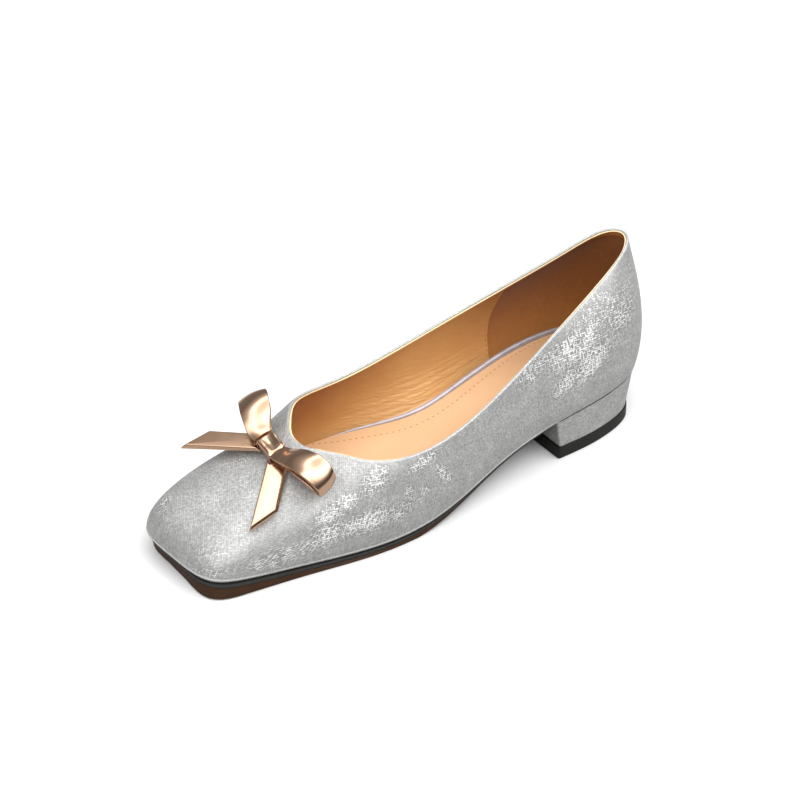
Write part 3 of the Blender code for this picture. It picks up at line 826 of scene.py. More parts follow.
def blend_rows(table, places):
    """Rows of a closed table read between its entries, at shares of the way round."""
    at = np.mod(places, 1.0) * len(table)
    low = np.floor(at).astype(int) % len(table)
    part = (at - np.floor(at))[..., None]
    return table[low] * (1 - part) + table[(low + 1) % len(table)] * part


def wall_at(shares, heights):
    """Points and outward normals of the wall's outer face, at shares round it and up it."""
    shares, heights = np.broadcast_arrays(shares, heights)
    around = np.mod(shares, 1.0) * DENSE_RIBS
    upward = np.clip(heights, 0.0, 1.0) * DENSE_ROWS
    i = np.floor(around).astype(int) % DENSE_RIBS
    j = np.minimum(np.floor(upward).astype(int), DENSE_ROWS - 1)
    k = (i + 1) % DENSE_RIBS
    a = (around - np.floor(around))[..., None]
    b = (upward - j)[..., None]
    read = []
    for table in (dense_wall, dense_normals):
        low = table[i, j] * (1 - a) + table[k, j] * a
        high = table[i, j + 1] * (1 - a) + table[k, j + 1] * a
        read.append(low * (1 - b) + high * b)
    return read[0], unit(read[1])


def share_at(x, side):
    """Share of the way round where the feather edge passes x, on the outer (1) or inner (-1) side."""
    half = DENSE_RIBS // 2
    places = side * np.arange(half) / DENSE_RIBS
    return np.interp(x, blend_rows(dense_feather, places)[:, 0], places)


def topline_roll(shares, shallow, deep, rise):
    """Rows of a half-round edge over the topline, from one depth in the wall to another."""
    tops, top_normals = wall_at(shares, np.ones_like(shares))
    climb = unit(tops - wall_at(shares, np.full_like(shares, TOPLINE_BELOW))[0])
    radius = (deep - shallow) / 2
    middle = tops - top_normals * (shallow + deep) / 2
    rows = []
    for angle in np.linspace(0.0, math.pi, 2 * ROUND_STEPS)[1:]:
        across = top_normals * math.cos(angle) * radius
        rows.append(middle + across + climb * math.sin(angle) * rise)
    return rows


# Silver leather


def scrape_field(points):
    """How strongly each point of the leather was scraped, from the table of scrapes."""
    field = np.zeros(points.shape[:-1])
    for x, y, z, along, across, lean_deg, strength in SCRAPES:
        lean = math.radians(lean_deg)
        axis = np.array([math.cos(lean), 0.0, math.sin(lean)])
        offset = points - np.array([x, y, z])
        run = offset @ axis
        side = np.linalg.norm(offset - run[..., None] * axis, axis=-1)
        field = np.maximum(field, strength * np.exp(-((run / along) ** 2 + (side / across) ** 2) ** 2))
    return field


def leather_maps(points, around):
    """Flat coordinates for the silver leather: round the wall and up it, and along the vamp."""
    wall = np.stack([np.broadcast_to(around, points.shape[:2]), points[..., 2]], axis=-1)
    return {"wall_mm": wall, "vamp_mm": points[..., :2]}


def make_skin(surface):
    """Silver leather: curled under at the feather edge and folded over at the topline."""
    shares = even_shares(RIB_STEPS)
    low = np.linspace(LIP_T, LIP_ROWS_T, LIP_ROWS, endpoint=False)
    heights = np.concatenate([low, np.linspace(LIP_ROWS_T, 1.0, WALL_STEPS + 1 - LIP_ROWS)])
    face, face_normals = wall_at(shares[:, None], heights[None, :])
    over_lip = np.linalg.norm(face - face[:, :1], axis=2) - LIP_BEAD_HEIGHT
    bead = bell(over_lip, LIP_BEAD_HALF) * share_past(face[:, :1, 0], HEEL_BREAST_X, LIP_BEAD_BLEND)
    face = face + face_normals * LIP_BEAD * bead[..., None]
    away = np.pad(outward(face[:, 0]), ((0, 0), (0, 1)))
    up = np.array([0.0, 0.0, 1.0])
    rows = []
    for turn, rest in quarter_round()[::-1]:
        rows.append(face[:, 0] - away * LIP_ROUND * (1 - rest) - up * LIP_ROUND * turn)
    rows.extend(face[:, j] for j in range(1, WALL_STEPS + 1))
    rows.extend(topline_roll(shares, 0.0, SKIN_FOLD, SKIN_FOLD_RISE))
    points = closed_section(rows, face - face_normals * SKIN)
    fold = ROUND_STEPS + WALL_STEPS
    level = np.zeros(points.shape[:2])
    level[ROUND_STEPS - 1:fold] = closed_round(face_normals[:, :, 2].T)
    level[fold:] = level[fold - 1]
    vamp = share_past(level, VAMP_LEVEL, VAMP_BLEND)
    lengths = np.linalg.norm(np.roll(dense_feather, -1, axis=0) - dense_feather, axis=1)
    around = np.linspace(0.0, lengths.sum(), RIB_STEPS + 1)
    # painted highlight on the lip bead and the topline fold, turned white in the shader
    lip = np.zeros(points.shape[:2])
    lip[ROUND_STEPS - 1:fold] = closed_round(bead.T) * LIP_PAINTED_HIGHLIGHT
    lip[fold - 1:fold + 2 * ROUND_STEPS] = FOLD_PAINTED_HIGHLIGHT
    piece = shaped_grid(points, leather_maps(points, around),
                        {"vamp": vamp, "scrape": scrape_field(points), "lip": lip})
    return finish_piece(piece, "upper_skin", surface, "silver_leather", "upper")


# Lining and heel pocket


def above_insole(points):
    """Height over the insole's flat top."""
    return points[..., 2] - feather(points) - INSOLE_THICKNESS


def near_arch(points, spread_by):
    """Hump of 1 low down over the arch, spread by a factor beyond the bulge."""
    along = bell(points[..., 0] - BULGE_X, BULGE_LENGTH * spread_by)
    return along * bell(np.maximum(above_insole(points), 0.0), BULGE_HEIGHT * spread_by)


def arch_bulge(points):
    """How far the lining stands into the shoe over the inner arch."""
    return BULGE_DEPTH * near_arch(points, 1.0) * (points[..., 1] < 0.0)


def arch_troughs(points):
    """Depth of the puckers in the lining, on the inner side and fainter on the outer one."""
    field = np.zeros(points.shape[:-1])
    height = above_insole(points)
    for x, middle, length, rise, depth in WRINKLES:
        run = points[..., 0] - x
        across = height - middle - rise * run
        field += depth * bell(run, length) * bell(across, WRINKLE_HALF_WIDTH)
    return field * WRINKLE_SHARE * np.where(points[..., 1] < 0.0, 1.0, OUTER_SIDE_WRINKLES)


def seam_x(height):
    """Place of the pocket's seam along the shoe at a height."""
    return table_at(POCKET_SEAM, height)


def tape_height(shares):
    """Share of the wall's height where the lining's tape over the pocket ends."""
    tops = wall_at(shares, np.ones_like(shares))[0]
    below = wall_at(shares, np.full_like(shares, TOPLINE_BELOW))[0]
    return 1.0 - TAPE_DEPTH * (1.0 - TOPLINE_BELOW) / np.linalg.norm(tops - below, axis=-1)


def lining_start(shares):
    """Share of the wall's height where the front lining begins: foot, seam or tape."""
    trial = np.linspace(LIP_T, 1.0, SEAM_TRIALS)
    points = wall_at(shares[:, None], trial[None, :])[0]
    in_front = points[..., 0] >= seam_x(points[..., 2])
    first = np.where(in_front.any(axis=1), trial[in_front.argmax(axis=1)], 1.0)
    return np.minimum(first, tape_height(shares))


def make_lining(surface):
    """Tan lining from seam to seam round the toe, with its rolled tape round the heel."""
    parts = [even_shares(RIB_STEPS)]
    for side in (1, -1):
        ends = [share_at(x, side) for x in SEAM_REACH]
        parts.append(np.mod(np.linspace(*ends, SEAM_RIBS), 1.0))
    shares = np.unique(np.concatenate(parts))
    start = lining_start(shares)[:, None]
    heights = start + (1.0 - start) * np.linspace(0.0, 1.0, LINING_STEPS + 1)[None, :]
    base, face_normals = wall_at(shares[:, None], heights)
    inner = base - face_normals * UPPER_WALL
    inward = arch_bulge(inner) - arch_troughs(inner)
    face = inner - face_normals * inward[..., None]
    rows = [face[:, j] for j in range(LINING_STEPS + 1)]
    flat = share_past(face_normals[:, -1:, 2], VAMP_LEVEL, VAMP_BLEND)
    rows.extend(topline_roll(shares, UPPER_WALL, LINING_EDGE, LINING_EDGE_RISE + LINING_EDGE_PROUD * flat))
    points = closed_section(rows, base - face_normals * LINING_BACK)
    edge = np.zeros(points.shape[:2])
    edge[LINING_STEPS:LINING_STEPS + 2 * ROUND_STEPS] = 1.0
    # painted light: the lining is lighter over the arch and low down, and darker up high and at the throat
    pale = LINING_LIGHT_ARCH * bell(points[..., 0] - LINING_LIGHT_X, LINING_LIGHT_LENGTH)
    pale += LINING_LIGHT_LOW * np.exp(-np.maximum(above_insole(points), 0.0) / LINING_LIGHT_HEIGHT)
    crease = near_arch(points, CREASE_SPREAD)
    piece = shaped_grid(points, None, {"edge": edge, "crease": crease, "pale": pale})
    return finish_piece(piece, "lining", surface, "tan_leather", "upper")


def pocket_heights(shares, rise):
    """Shares of the wall's height for shares of the pocket's own height."""
    return LIP_T + rise * (tape_height(shares) - TAPE_SHADOW - LIP_T)


def pocket_end(rise, side):
    """Where the pocket meets the seam on one side, for each share of its height."""
    shares = side * np.linspace(0.0, POCKET_REACH, SEAM_TRIALS)
    found = []
    for share in rise:
        points = wall_at(shares, pocket_heights(shares, share))[0]
        found.append(np.interp(-POCKET_GAP, points[:, 0] - seam_x(points[:, 2]), np.abs(shares)))
    return side * np.array(found)


def make_pocket(surface):
    """Suede pocket behind the seams, lying a little deeper than the lining."""
    rise = np.linspace(0.0, 1.0, POCKET_STEPS + 1)
    ends = [pocket_end(rise, side) for side in (-1, 1)]
    shares = ends[0] + (ends[1] - ends[0]) * np.linspace(0.0, 1.0, POCKET_LANES + 1)[:, None]
    base, face_normals = wall_at(shares, pocket_heights(shares, rise[None, :]))
    face = base - face_normals * POCKET_FACE
    back = base - face_normals * LINING_BACK
    sections = np.concatenate([face, back[:, ::-1], face[:, :1]], axis=1)
    thin = base - face_normals * (POCKET_FACE + LINING_BACK) / 2
    caps = [np.concatenate([thin[i], thin[i, ::-1], thin[i, :1]])[None] for i in (0, -1)]
    points = np.concatenate([caps[0], sections, caps[1]])
    # painted light: the pocket is lighter low down and darker towards the tape
    low = np.exp(-np.maximum(above_insole(points), 0.0) / POCKET_LIGHT_HEIGHT)
    piece = shaped_grid(points, None, {"low": low})
    return finish_piece(piece, "heel_pocket", surface, "tan_leather", "upper")


# Sole layers, insole and heel: slabs between outlines


def inset_ring(ring, amount):
    """A plan outline drawn in by an amount, which may vary round it."""
    return ring - outward(ring) * np.broadcast_to(amount, len(ring))[:, None]


def resample(path, steps, corner=None):
    """Even steps along a plan path, with one of its corners rounded off."""
    run = run_along(path)
    places = np.linspace(0.0, run[-1], steps + 1)

    def read(at):
        return np.stack([np.interp(at, run, path[:, 0]), np.interp(at, run, path[:, 1])], axis=-1)

    points = read(places)
    if corner is not None:
        share = (places - run[corner] + CUT_CORNER) / (2 * CUT_CORNER)
        bend = (share > 0.0) & (share < 1.0)
        ends = read(run[corner] + np.array([-CUT_CORNER, CUT_CORNER]))
        points[bend] = eased(ends[0], path[corner], ends[1], share[bend][:, None])
    return points


def outline(inset, breast_x=None, keep_toe=True):
    """Closed plan outline inside the feather edge, cut straight across at the heel breast."""
    ring = inset_ring(dense_feather, inset)
    half = len(ring) // 2
    sides = [ring[:half + 1], np.concatenate([ring[:1], ring[:half - 1:-1]])]
    halves = []
    for side in sides:
        corner = None
        if breast_x is not None:
            cut_y = np.interp(breast_x, side[:, 0], side[:, 1])
            middle_y = np.mean([np.interp(breast_x, s[:, 0], s[:, 1]) for s in sides])
            cut = [[breast_x, cut_y]]
            middle = [[breast_x, middle_y]]
            if keep_toe:
                side = np.concatenate([middle, cut, side[side[:, 0] > breast_x]])
                corner = 1
            else:
                side = np.concatenate([side[side[:, 0] < breast_x], cut, middle])
                corner = len(side) - 2
        halves.append(resample(side, OUTLINE_STEPS // 2, corner))
    return np.concatenate([halves[0], halves[1][-2:0:-1]])


def raised(ring, heights):
    """A plan outline at its heights."""
    return np.column_stack([ring, np.broadcast_to(heights, len(ring))])


def round_rim(ring, top, foot, top_round, foot_round):
    """Levels of a slab's side from its top rim to its foot rim, both rounded."""
    levels = []
    for turn, rest in quarter_round():
        levels.append(raised(inset_ring(ring, top_round * (1 - turn)), top - top_round * (1 - rest)))
    for turn, rest in quarter_round()[::-1]:
        levels.append(raised(inset_ring(ring, foot_round * (1 - turn)), foot + foot_round * (1 - rest)))
    return levels


def slab(levels, top_height, foot_height, lanes=SHEET_LANES, leather=False):
    """Closed body through level outlines, with sheets across its top and its foot.

    A body covered in silver leather gets the leather's maps, laid round it from the heel's back.
    """
    levels = np.array(levels)
    half = levels.shape[1] // 2
    outer = levels[:, :half + 1]
    inner = levels[:, -np.arange(half + 1)]
    shares = (1 - np.cos(np.linspace(0.0, math.pi, lanes + 1)[1:-1])) / 2
    columns = [outer[0]]
    for share in shares:
        lane = outer[0] + (inner[0] - outer[0]) * share
        lane[:, 2] = top_height(lane)
        columns.append(lane)
    columns.extend(inner)
    for share in shares:
        lane = inner[-1] + (outer[-1] - inner[-1]) * share
        lane[:, 2] = foot_height(lane)
        columns.append(lane)
    columns.extend(outer[::-1])
    points = np.stack(columns, axis=1)
    if not leather:
        return shaped_grid(points)
    whole = np.ones(len(levels))
    side = np.concatenate([[1.0], 1 - 2 * shares, -whole, 2 * shares - 1, whole])
    run = np.cumsum(np.linalg.norm(np.diff(points, axis=0), axis=2), axis=0)
    around = side * np.pad(run, ((1, 0), (0, 0)))
    return shaped_grid(points, leather_maps(points, around), {"scrape": scrape_field(points)})


def edge_top(points):
    """Top of the black layer, just under the feather edge."""
    return feather(points) - SEAT_GAP


def edge_foot(points):
    """Underside of the black layer."""
    return edge_top(points) - sole_column("edge_thick", points[..., 0])


def tread_top(points):
    """Top of the tread, just under the black layer."""
    return edge_foot(points) - SEAT_GAP


def tread_foot(points):
    """Underside of the tread, on the floor under the ball."""
    return np.maximum(feather(points) - sole_column("tread_depth", points[..., 0]), 0.0)


def flat_at(height):
    """A height that is the same everywhere, for a slab's top or foot."""
    return lambda points: np.full(len(points), height)


def rib_column(name):
    """One column of the rib table, round the dense feather edge."""
    return smooth_ribs(even_shares(DENSE_RIBS))[name]


def leaning(levels, seat, foot, top, base):
    """Levels of a slab's side, shifted so that its foot lies on another outline."""
    shifted = []
    for level in levels:
        share = (top - level[:, 2]) / (top - base)
        shifted.append(np.column_stack([level[:, :2] + (foot - seat) * share[:, None], level[:, 2]]))
    return shifted


def make_sole_edge(surface):
    """Black layer with a narrow groove under the feather edge."""
    ring = outline(rib_column("sole_tuck"), HEEL_BREAST_X + SEAT_GAP)
    step = edge_top(ring) - GROOVE_SHARE * sole_column("edge_thick", ring[:, 0])
    inner = inset_ring(ring, GROOVE_INSET)
    levels = [raised(inner, edge_top(ring)), raised(inner, step)]
    levels += round_rim(ring, step, edge_foot(ring), EDGE_ROUND, EDGE_ROUND)
    piece = slab(levels, edge_top, edge_foot)
    return finish_piece(piece, "sole_band", surface, "black_rubber", "sole_edge")


def make_outsole(surface):
    """Brown tread, flat under the ball, deepest at the toe and flared at the forefoot's sides."""
    ring = outline(rib_column("sole_tuck") + TREAD_STEP, HEEL_BREAST_X + SEAT_GAP)
    foot = outline(rib_column("tread_tuck"), HEEL_BREAST_X + SEAT_GAP)
    top = tread_top(ring)
    base = tread_foot(foot)
    levels = leaning(round_rim(ring, top, base, EDGE_ROUND, TREAD_ROUND), ring, foot, top, base)
    piece = slab(levels, tread_top, tread_foot)
    return finish_piece(piece, "tread", surface, "brown_rubber", "outsole")


def spread(row, shares):
    """Plan points drawn away from the heel's middle by shares in x and y."""
    return np.array(HEEL_MIDDLE) + (row - np.array(HEEL_MIDDLE)) * np.array(shares)


def heel_foot(row):
    """Plan points of the heel's foot under points of its seat."""
    table = np.array(HEEL_FOOT_SHIFT)
    shift = spline(table[:, 0], table[:, 1:], row[:, 0])
    return spread(row + np.pad(shift, ((0, 0), (0, 1))), HEEL_FOOT_SPREAD)


def make_heel(cover, rubber):
    """Covered block, undercut at the back, and the rubber piece it stands on."""
    seat = outline(HEEL_INSET_TOP, HEEL_BREAST_X, keep_toe=False)
    foot = heel_foot(seat)
    top = edge_top(seat)
    block_foot = flat_at(HEEL_TIP_HEIGHT + SEAT_GAP)
    base = block_foot(seat)
    levels = leaning(round_rim(seat, top, base, HEEL_SEAM_ROUND, HEEL_SEAM_ROUND), seat, foot, top, base)
    piece = slab(subdivide_levels(levels), edge_top, block_foot, leather=True)
    finish_piece(piece, "heel_cover", cover, "silver_leather", "heel_block")
    make_heel_shade_line(rubber)
    levels = round_rim(spread(foot, HEEL_TIP_SPREAD), HEEL_TIP_HEIGHT, 0.0, EDGE_ROUND, EDGE_ROUND)
    tip = slab(levels, flat_at(HEEL_TIP_HEIGHT), flat_at(0.0))
    finish_piece(tip, "heel_top_piece", rubber, "black_rubber", "heel_tip")


def make_heel_shade_line(surface):
    """Dark edge of the sole board, also standing in as painted shade in the groove: a fine dark line
    between upper and heel.
    """
    ring = outline(HEEL_LINE_INSET, HEEL_BREAST_X - HEEL_LINE_INSET, keep_toe=False)

    def foot(points):
        return edge_top(points) - HEEL_LINE_SUNK

    def top(points):
        return foot(points) + HEEL_LINE

    piece = slab([raised(ring, top(ring)), raised(ring, foot(ring))], top, foot)
    return finish_piece(piece, "heel_board_edge_and_shade", surface, "black_rubber")


def subdivide_levels(levels):
    """More levels down the long straight side between the two rounded rims."""
    upper, lower = levels[ROUND_STEPS - 1], levels[ROUND_STEPS]
    shares = np.linspace(0.0, 1.0, HEEL_SIDE_STEPS + 1)[1:-1]
    between = [upper + (lower - upper) * share for share in shares]
    return levels[:ROUND_STEPS] + between + levels[ROUND_STEPS:]


# Insole


def sock_top(points):
    """Height of the sock: dished towards its edges behind the ball."""
    x = points[:, 0]
    edges = [np.interp(x, *side_outline(side).T) for side in (1, -1)]
    distance = np.minimum(edges[0] - points[:, 1], points[:, 1] - edges[1])
    lift = np.clip(1.0 - distance / SOCK_DISH_WIDTH, 0.0, 1.0) ** 2
    behind_ball = share_past(-x, -SOCK_FLAT_X, SOCK_FLAT_BLEND)
    return feather(points) + INSOLE_THICKNESS + SOCK_DISH * lift * behind_ball


def side_outline(side):
    """The insole's outline along one side, as rows of x and y from heel to toe."""
    half = DENSE_RIBS // 2
    places = side * np.arange(half + 1) / DENSE_RIBS
    return blend_rows(inset_ring(dense_feather, INSOLE_INSET), places)


def make_sock(surface):
    """Padded sock with a soft edge."""
    ring = outline(INSOLE_INSET)
    levels = round_rim(ring, sock_top(ring), feather(ring), SOCK_ROUND, EDGE_ROUND)
    piece = slab(levels, sock_top, feather, SOCK_LANES)
    return finish_piece(piece, "insole_sock", surface, "tan_leather", "insole")


def make_roll(surface):
    """Silver roll along the insole's edge round the heel, tapering out at the ball."""
    ends = [share_at(ROLL_FRONT_X, side) for side in (-1, 1)]
    shares = np.linspace(*ends, ROLL_STEPS + 1)
    edge = blend_rows(dense_feather, shares)
    away = blend_rows(feather_away, shares)
    width = table_at(ROLL, edge[:, 0])
    rise = table_at(ROLL, edge[:, 0], 2)
    floor_points = np.column_stack([edge, feather(edge) + INSOLE_THICKNESS])
    inset = INSOLE_INSET + width / 2 + arch_bulge(floor_points)
    middle = edge - away * inset[:, None]
    half_height = (rise + ROLL_SUNK) / 2
    steps = np.arange(len(shares))
    taper = share_past(np.minimum(steps, steps[::-1]), 0.0, ROLL_TAPER)
    columns = []
    for angle in np.linspace(0.0, 2 * math.pi, ROLL_SIDES + 1):
        plan = middle + away * (width / 2 * taper * math.cos(angle))[:, None]
        height = floor_points[:, 2] + rise - half_height + half_height * taper * math.sin(angle)
        columns.append(np.column_stack([plan, height]))
    piece = shaped_grid(np.stack(columns, axis=1))
    return finish_piece(piece, "insole_roll", surface, "silver_leather")


def lay_stitches(name, places, surface):
    """Thread stitches: one modelled, then copied to each place (point, along, up) and joined."""
    copies = []
    bpy.ops.object.select_all(action="DESELECT")
    bpy.ops.mesh.primitive_uv_sphere_add(segments=STITCH_SEGMENTS, ring_count=STITCH_RINGS, radius=0.5)
    first = bpy.context.active_object
    edit_all((bpy.ops.transform.resize,
              {"value": (STITCH_LENGTH * MM, STITCH_WIDTH * MM, STITCH_WIDTH * MM)}))
    bpy.ops.object.shade_smooth()
    for point, along, up in places:
        bpy.ops.object.select_all(action="DESELECT")
        first.select_set(True)
        bpy.context.view_layer.objects.active = first
        bpy.ops.object.duplicate()
        copy = bpy.context.active_object
        side = np.cross(up, along)
        turn = Matrix(np.stack([along, side, up], axis=1).tolist()).to_4x4()
        turn.translation = Vector(to_frame(point))
        copy.matrix_world = turn
        copies.append(copy)
    bpy.data.objects.remove(first, do_unlink=True)
    bpy.ops.object.select_all(action="DESELECT")
    for copy in copies:
        copy.select_set(True)
    bpy.context.view_layer.objects.active = copies[0]
    bpy.ops.object.join()
    bpy.ops.object.transform_apply(location=True, rotation=True, scale=True)
    return finish_piece(bpy.context.active_object, name, surface, "tan_leather")


def even_places(path, ups, pitch):
    """Places for stitches at an even pitch along a path of points."""
    run = run_along(path)
    tracks = np.concatenate([path, np.gradient(path, axis=0), ups], axis=1).T
    places = []
    for at in np.arange(pitch / 2, run[-1], pitch):
        point, ahead, up = np.array([np.interp(at, run, track) for track in tracks]).reshape(3, 3)
        along = unit(ahead)
        places.append((point, along, unit(up - along * (up @ along))))
    return places


def sock_stitches():
    """Places of the stitch line on the sock, round the heel from ball to ball."""
    ends = [share_at(STITCH_FRONT_X, side) for side in (-1, 1)]
    shares = np.linspace(*ends, STITCH_PATH_STEPS)
    edge = blend_rows(dense_feather, shares)
    table = np.array(STITCH_LINE)
    inset = spline(table[:, 0], table[:, 1:], edge[:, 0])
    plan = edge - blend_rows(feather_away, shares) * inset
    path = np.column_stack([plan, sock_top(plan) - STITCH_SUNK])
    return even_places(path, np.tile([0.0, 0.0, 1.0], (len(path), 1)), STITCH_PITCH)


def seam_stitches():
    """Places of the stitches along the front lining's edge at both pocket seams."""
    places = []
    rise = np.linspace(*SEAM_STITCH_SPAN, POCKET_STEPS)
    for side in (1, -1):
        shares = pocket_end(rise, side) + side * SEAM_STITCH_AHEAD
        base, face_normals = wall_at(shares, pocket_heights(shares, rise))
        path = base - face_normals * (UPPER_WALL - STITCH_SUNK)
        places.extend(even_places(path, -face_normals, SEAM_STITCH_PITCH))
    return places


# Bow


def from_bow(points):
    """Points in the bow's own frame to millimetres on the last."""
    turn = np.array(Euler(np.radians(BOW_ANGLES_DEG), "XYZ").to_matrix())
    return np.asarray(points, float) @ turn.T + np.array(BOW_CENTRE)


def capped(rings):
    """Rings with a point added at each end, so that a sweep is closed."""
    first = np.repeat(rings[:1].mean(axis=1, keepdims=True), rings.shape[1], axis=1)
    last = np.repeat(rings[-1:].mean(axis=1, keepdims=True), rings.shape[1], axis=1)
    return np.concatenate([first, rings, last])


def make_knot(vamp, surface):
    """Wrap round the bow's middle, dished on top and standing on the vamp."""
    section = np.array(KNOT_SECTION)
    run = run_along(section)
    curve = spline(run, section, np.linspace(0.0, run[-1], KNOT_STEPS))
    rings = []
    for y in np.linspace(-KNOT_HALF_WIDTH, KNOT_HALF_WIDTH, KNOT_LANE_STEPS):
        drop = table_at(KNOT_LANES, y)
        oval = 1.0 - (y / KNOT_HALF_WIDTH) ** 2
        ring = []
        for x, z in curve:
            dish = oval if abs(x) < KNOT_RIM_X else 1.0
            ring.append((x, y, KNOT_FLAT + (z - KNOT_FLAT) * dish - drop))
        for x in np.linspace(section[-1, 0], section[0, 0], KNOT_FOOT_STEPS):
            start = Vector(to_frame(from_bow((x, y, 0.0))))
            down = Vector(to_frame(from_bow((x, y, -1.0)))) - start
            depth = vamp.ray_cast(start, down.normalized())[3] / MM
            ring.append((x, y, SEAT_GAP - depth))
        rings.append(ring + ring[:1])
    piece = shaped_grid(from_bow(capped(np.array(rings))))
    add_modifier(piece, "BEVEL", width=KNOT_BEVEL * MM, segments=KNOT_BEVEL_STEPS, limit_method="ANGLE",
                 angle_limit=math.radians(METAL_SHARP_DEG))
    bpy.ops.object.shade_smooth_by_angle(angle=math.radians(METAL_SHARP_DEG))
    return finish_piece(piece, "bow_wrap", surface, "champagne_metal", "bow_knot")


def strip_section(half_width):
    """Rounded section of the loop's strip, crowned outside: (across it, off its middle)."""
    flat = half_width - STRIP_ROUND
    rim = LOOP_STRIP / 2 - STRIP_ROUND
    half = []
    for share in np.linspace(-1.0, 1.0, LOOP_LANES):
        half.append((share * flat, LOOP_STRIP / 2 + LOOP_CROWN * (LOOP_CROWN_RISE - share ** 2)))
    edge = half[-1][1] - STRIP_ROUND
    bend = quarter_round(STRIP_ROUND_STEPS)
    for turn, rest in bend[1:]:
        half.append((flat + STRIP_ROUND * turn, edge + STRIP_ROUND * rest))
    under = [(flat + STRIP_ROUND * rest, -rim - STRIP_ROUND * turn) for turn, rest in bend]
    under.extend((share * flat, -LOOP_STRIP / 2) for share in np.linspace(1.0, -1.0, LOOP_LANES)[1:])
    back = [(-across, off) for across, off in under[:STRIP_ROUND_STEPS]][::-1][1:]
    rise = [(-across, off) for across, off in half[1 - STRIP_ROUND_STEPS:]][::-1]
    return half + under + back + rise + half[:1]


def make_loop(name, side, fold, surface, replaced):
    """Folded strip that leaves one side of the knot, crowns and comes back under."""
    table = np.array(fold)
    run = run_along(table[:, :2])
    path = spline(run, table, np.linspace(0.0, run[-1], LOOP_STEPS + 1))
    ahead = unit(np.gradient(path[:, :2], axis=0))
    swing = math.radians(LOOP_SWING_DEG)
    rings = []
    for (along, height, half_width, back), (run_out, run_up) in zip(path, ahead):
        reach = min(max(along / table[:, 0].max(), 0.0), 1.0)
        turn = swing * reach
        ring = []
        for across, off in strip_section(half_width):
            if across < 0.0:
                across *= 1.0 - LOOP_CORNER / half_width * reach ** LOOP_CORNER_POWER
            out = along - run_up * off
            x = -math.sin(swing) * out + across * math.cos(turn) - back
            y = math.cos(swing) * out + across * math.sin(turn)
            z = height + run_out * off - LOOP_TILT * reach ** 2 * across / half_width
            ring.append((x, side * (KNOT_HALF_WIDTH + SEAT_GAP + max(y, 0.0)), z))
        rings.append(ring)
    piece = shaped_grid(from_bow(capped(np.array(rings))))
    return finish_piece(piece, name, surface, "champagne_metal", replaced)


def inset_polygon(corners, amount):
    """A polygon with every side drawn in by an amount."""
    ahead = unit(np.roll(corners, -1, axis=0) - corners)
    inward = np.stack([-ahead[:, 1], ahead[:, 0]], axis=1)
    before = np.roll(inward, 1, axis=0)
    return corners + amount * (inward + before) / (1.0 + (inward * before).sum(axis=1))[:, None]


def rounded(corners):
    """A polygon with its corners eased into short curves, as a closed list of points."""
    points = []
    for before, corner, after in zip(np.roll(corners, 1, axis=0), corners, np.roll(corners, -1, axis=0)):
        start, end = [corner + unit(other - corner) * TAIL_CORNER for other in (before, after)]
        for u in np.linspace(0.0, 1.0, TAIL_CORNER_STEPS):
            points.append(eased(start, corner, end, u))
    return np.array(points + points[:1])


def make_tail(name, side, surface, replaced):
    """Plate with a rounded rim and a slanted end, a little twisted, notched round the knot."""
    beside_knot = KNOT_HALF_WIDTH + SEAT_GAP
    root_front, tip, short_corner, root_rear = TAIL_OUTLINE
    corners = np.array([root_front, tip, short_corner, root_rear,
                        (root_rear[0], beside_knot), (root_front[0], beside_knot)])
    root = (np.array(root_front) + np.array(root_rear)) / 2
    axis = unit((np.array(tip) + np.array(short_corner)) / 2 - root)
    rings = []
    for inset, drop in TAIL_RIM + ((0.0, None), (TAIL_FOOT_ROUND, None)):
        plan = rounded(inset_polygon(corners, inset))
        offset = (plan - root) @ np.array([axis[1], -axis[0]])
        height = TAIL_TOP + TAIL_LIFT + math.tan(math.radians(TAIL_TWIST_DEG)) * offset
        if drop is None:
            swell = TAIL_SWELL * (plan - np.array(root_front)).sum(axis=1)
            drop = TAIL_PLATE + TAIL_LIFT + swell - TAIL_FOOT_ROUND + inset
        rings.append(np.column_stack([plan[:, 0], side * plan[:, 1], height - drop]))
    piece = shaped_grid(from_bow(capped(np.array(rings))), sharp_deg=METAL_SHARP_DEG)
    return finish_piece(piece, name, surface, "champagne_metal", replaced)


def make_bow(skin, surface):
    """Knot, two loops and two tails."""
    vamp = BVHTree.FromPolygons([v.co for v in skin.data.vertices],
                                [p.vertices for p in skin.data.polygons])
    make_knot(vamp, surface)
    for word, side in (("left", -1), ("right", 1)):
        make_loop("bow_ribbon_" + word, side, LOOP_FOLDS[word], surface, "bow_loop_" + word)
        make_tail("bow_end_" + word, side, surface, "bow_tail_" + word)


# Stage


def aim_camera():
    """The photograph's camera."""
    turn = math.radians(CAMERA_TURN_DEG)
    rise = math.radians(CAMERA_RISE_DEG)
    back = Vector((math.sin(turn) * math.cos(rise), math.cos(turn) * math.cos(rise), math.sin(rise)))
    right = Vector((-math.cos(turn), math.sin(turn), 0.0))
    place = Matrix((right, back.cross(right), back)).transposed().to_4x4()
    place.translation = Vector(to_frame(CAMERA_TARGET)) + back * CAMERA_DISTANCE * MM
    data = bpy.data.cameras.new("photo_camera")
    data.sensor_width = SENSOR_MM
    data.lens = FOCAL_PX / IMAGE_PX * SENSOR_MM
    data.shift_x = -(AXIS_PX[0] - IMAGE_PX / 2) / IMAGE_PX
    data.shift_y = (AXIS_PX[1] - IMAGE_PX / 2) / IMAGE_PX
    camera = bpy.data.objects.new("photo_camera", data)
    camera.matrix_world = place
    bpy.context.scene.collection.objects.link(camera)
    bpy.context.scene.camera = camera


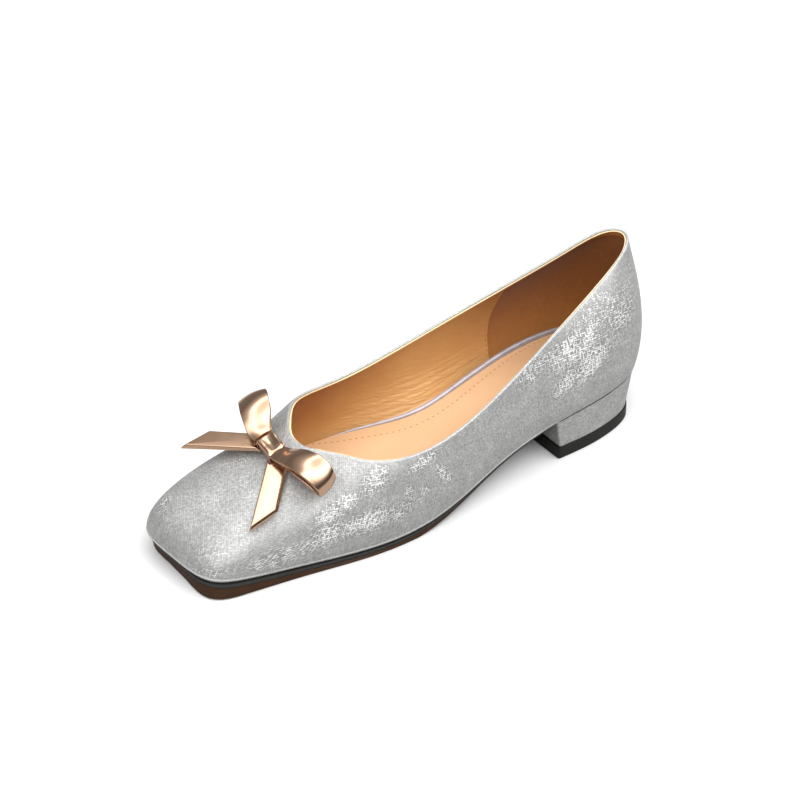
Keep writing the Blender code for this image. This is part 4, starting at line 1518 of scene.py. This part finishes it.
def lay_floor():
    """Pale paper under the tread, overexposed to the camera and greyer for the light it throws back."""
    bpy.ops.object.select_all(action="DESELECT")
    bpy.ops.mesh.primitive_plane_add(size=FLOOR_SIZE, location=(0.0, 0.0, FLOOR_DROP))
    floor = bpy.context.active_object
    floor.name = "studio_floor"
    made, tree, shader = new_material("white_paper_floor", roughness=0.7)
    sight = node(tree, "ShaderNodeLightPath")
    dress(tree, shader, blended(tree, sight.outputs["Is Camera Ray"], "#b0b0b0", "#e2e2e2"))
    floor.data.materials.append(made)


def light_bands(tree, height, bands):
    """Colour ramp of light levels by height over the horizon."""
    made = node(tree, "ShaderNodeValToRGB", {0: height})
    ramp = made.color_ramp
    ramp.elements[0].position = bands[0][0]
    ramp.elements[1].position = bands[-1][0]
    for place, _ in bands[1:-1]:
        ramp.elements.new(place)
    for element, (_, level) in zip(ramp.elements, bands):
        share = level / SKY_STRENGTH
        element.color = (share, share, share, 1.0)
    return made.outputs["Color"]


def light_studio():
    """Soft boxes on both sides of a dimmer gap overhead, in a room that is darker on the far side."""
    world = bpy.data.worlds.new("studio")
    bpy.context.scene.world = world
    world.use_nodes = True
    tree = world.node_tree
    tree.nodes.clear()
    direction = node(tree, "ShaderNodeTexCoord")
    split = node(tree, "ShaderNodeSeparateXYZ", {0: direction.outputs["Generated"]})
    near = ranged(tree, split.outputs["Y"], (-SIDE_BLEND, SIDE_BLEND), kind="SMOOTHSTEP")
    ramps = [light_bands(tree, split.outputs["Z"], table) for table in (FAR_BANDS, NEAR_BANDS)]
    bands = blended(tree, near, *ramps)
    sky = node(tree, "ShaderNodeBackground", {"Color": bands, "Strength": SKY_STRENGTH})
    plain = node(tree, "ShaderNodeBackground", {"Color": colour("#ffffff"), "Strength": 1.0})
    sight = node(tree, "ShaderNodeLightPath")
    mixed = node(tree, "ShaderNodeMixShader",
                 {0: sight.outputs["Is Camera Ray"], 1: sky.outputs[0], 2: plain.outputs[0]})
    node(tree, "ShaderNodeOutputWorld", {"Surface": mixed.outputs[0]})
    bpy.context.scene.view_settings.view_transform = "Standard"


def build_shoe():
    """Every piece of the shoe, from the outside in and from the top down."""
    silver = silver_leather()
    skin = make_skin(silver)
    make_lining(lining_leather())
    make_pocket(pocket_suede())
    make_sock(sock_leather())
    make_roll(roll_leather())
    thread = waxed_thread()
    lay_stitches("sock_stitches", sock_stitches(), thread)
    lay_stitches("pocket_stitches", seam_stitches(), thread)
    black = moulded_rubber("moulded_black_rubber", ("#2a2a29", "#373735"), roughness=0.55, grain_mm=0.9)
    tip = moulded_rubber("moulded_tip_rubber", ("#131412", "#1f201c"), roughness=0.5, grain_mm=0.9)
    brown = moulded_rubber("moulded_brown_rubber", ("#2f1b0c", "#432a15"), roughness=0.55, grain_mm=1.1)
    make_sole_edge(black)
    make_outsole(brown)
    make_heel(silver, tip)
    make_bow(skin, champagne_plate())


aim_camera()
lay_floor()
light_studio()
build_shoe()
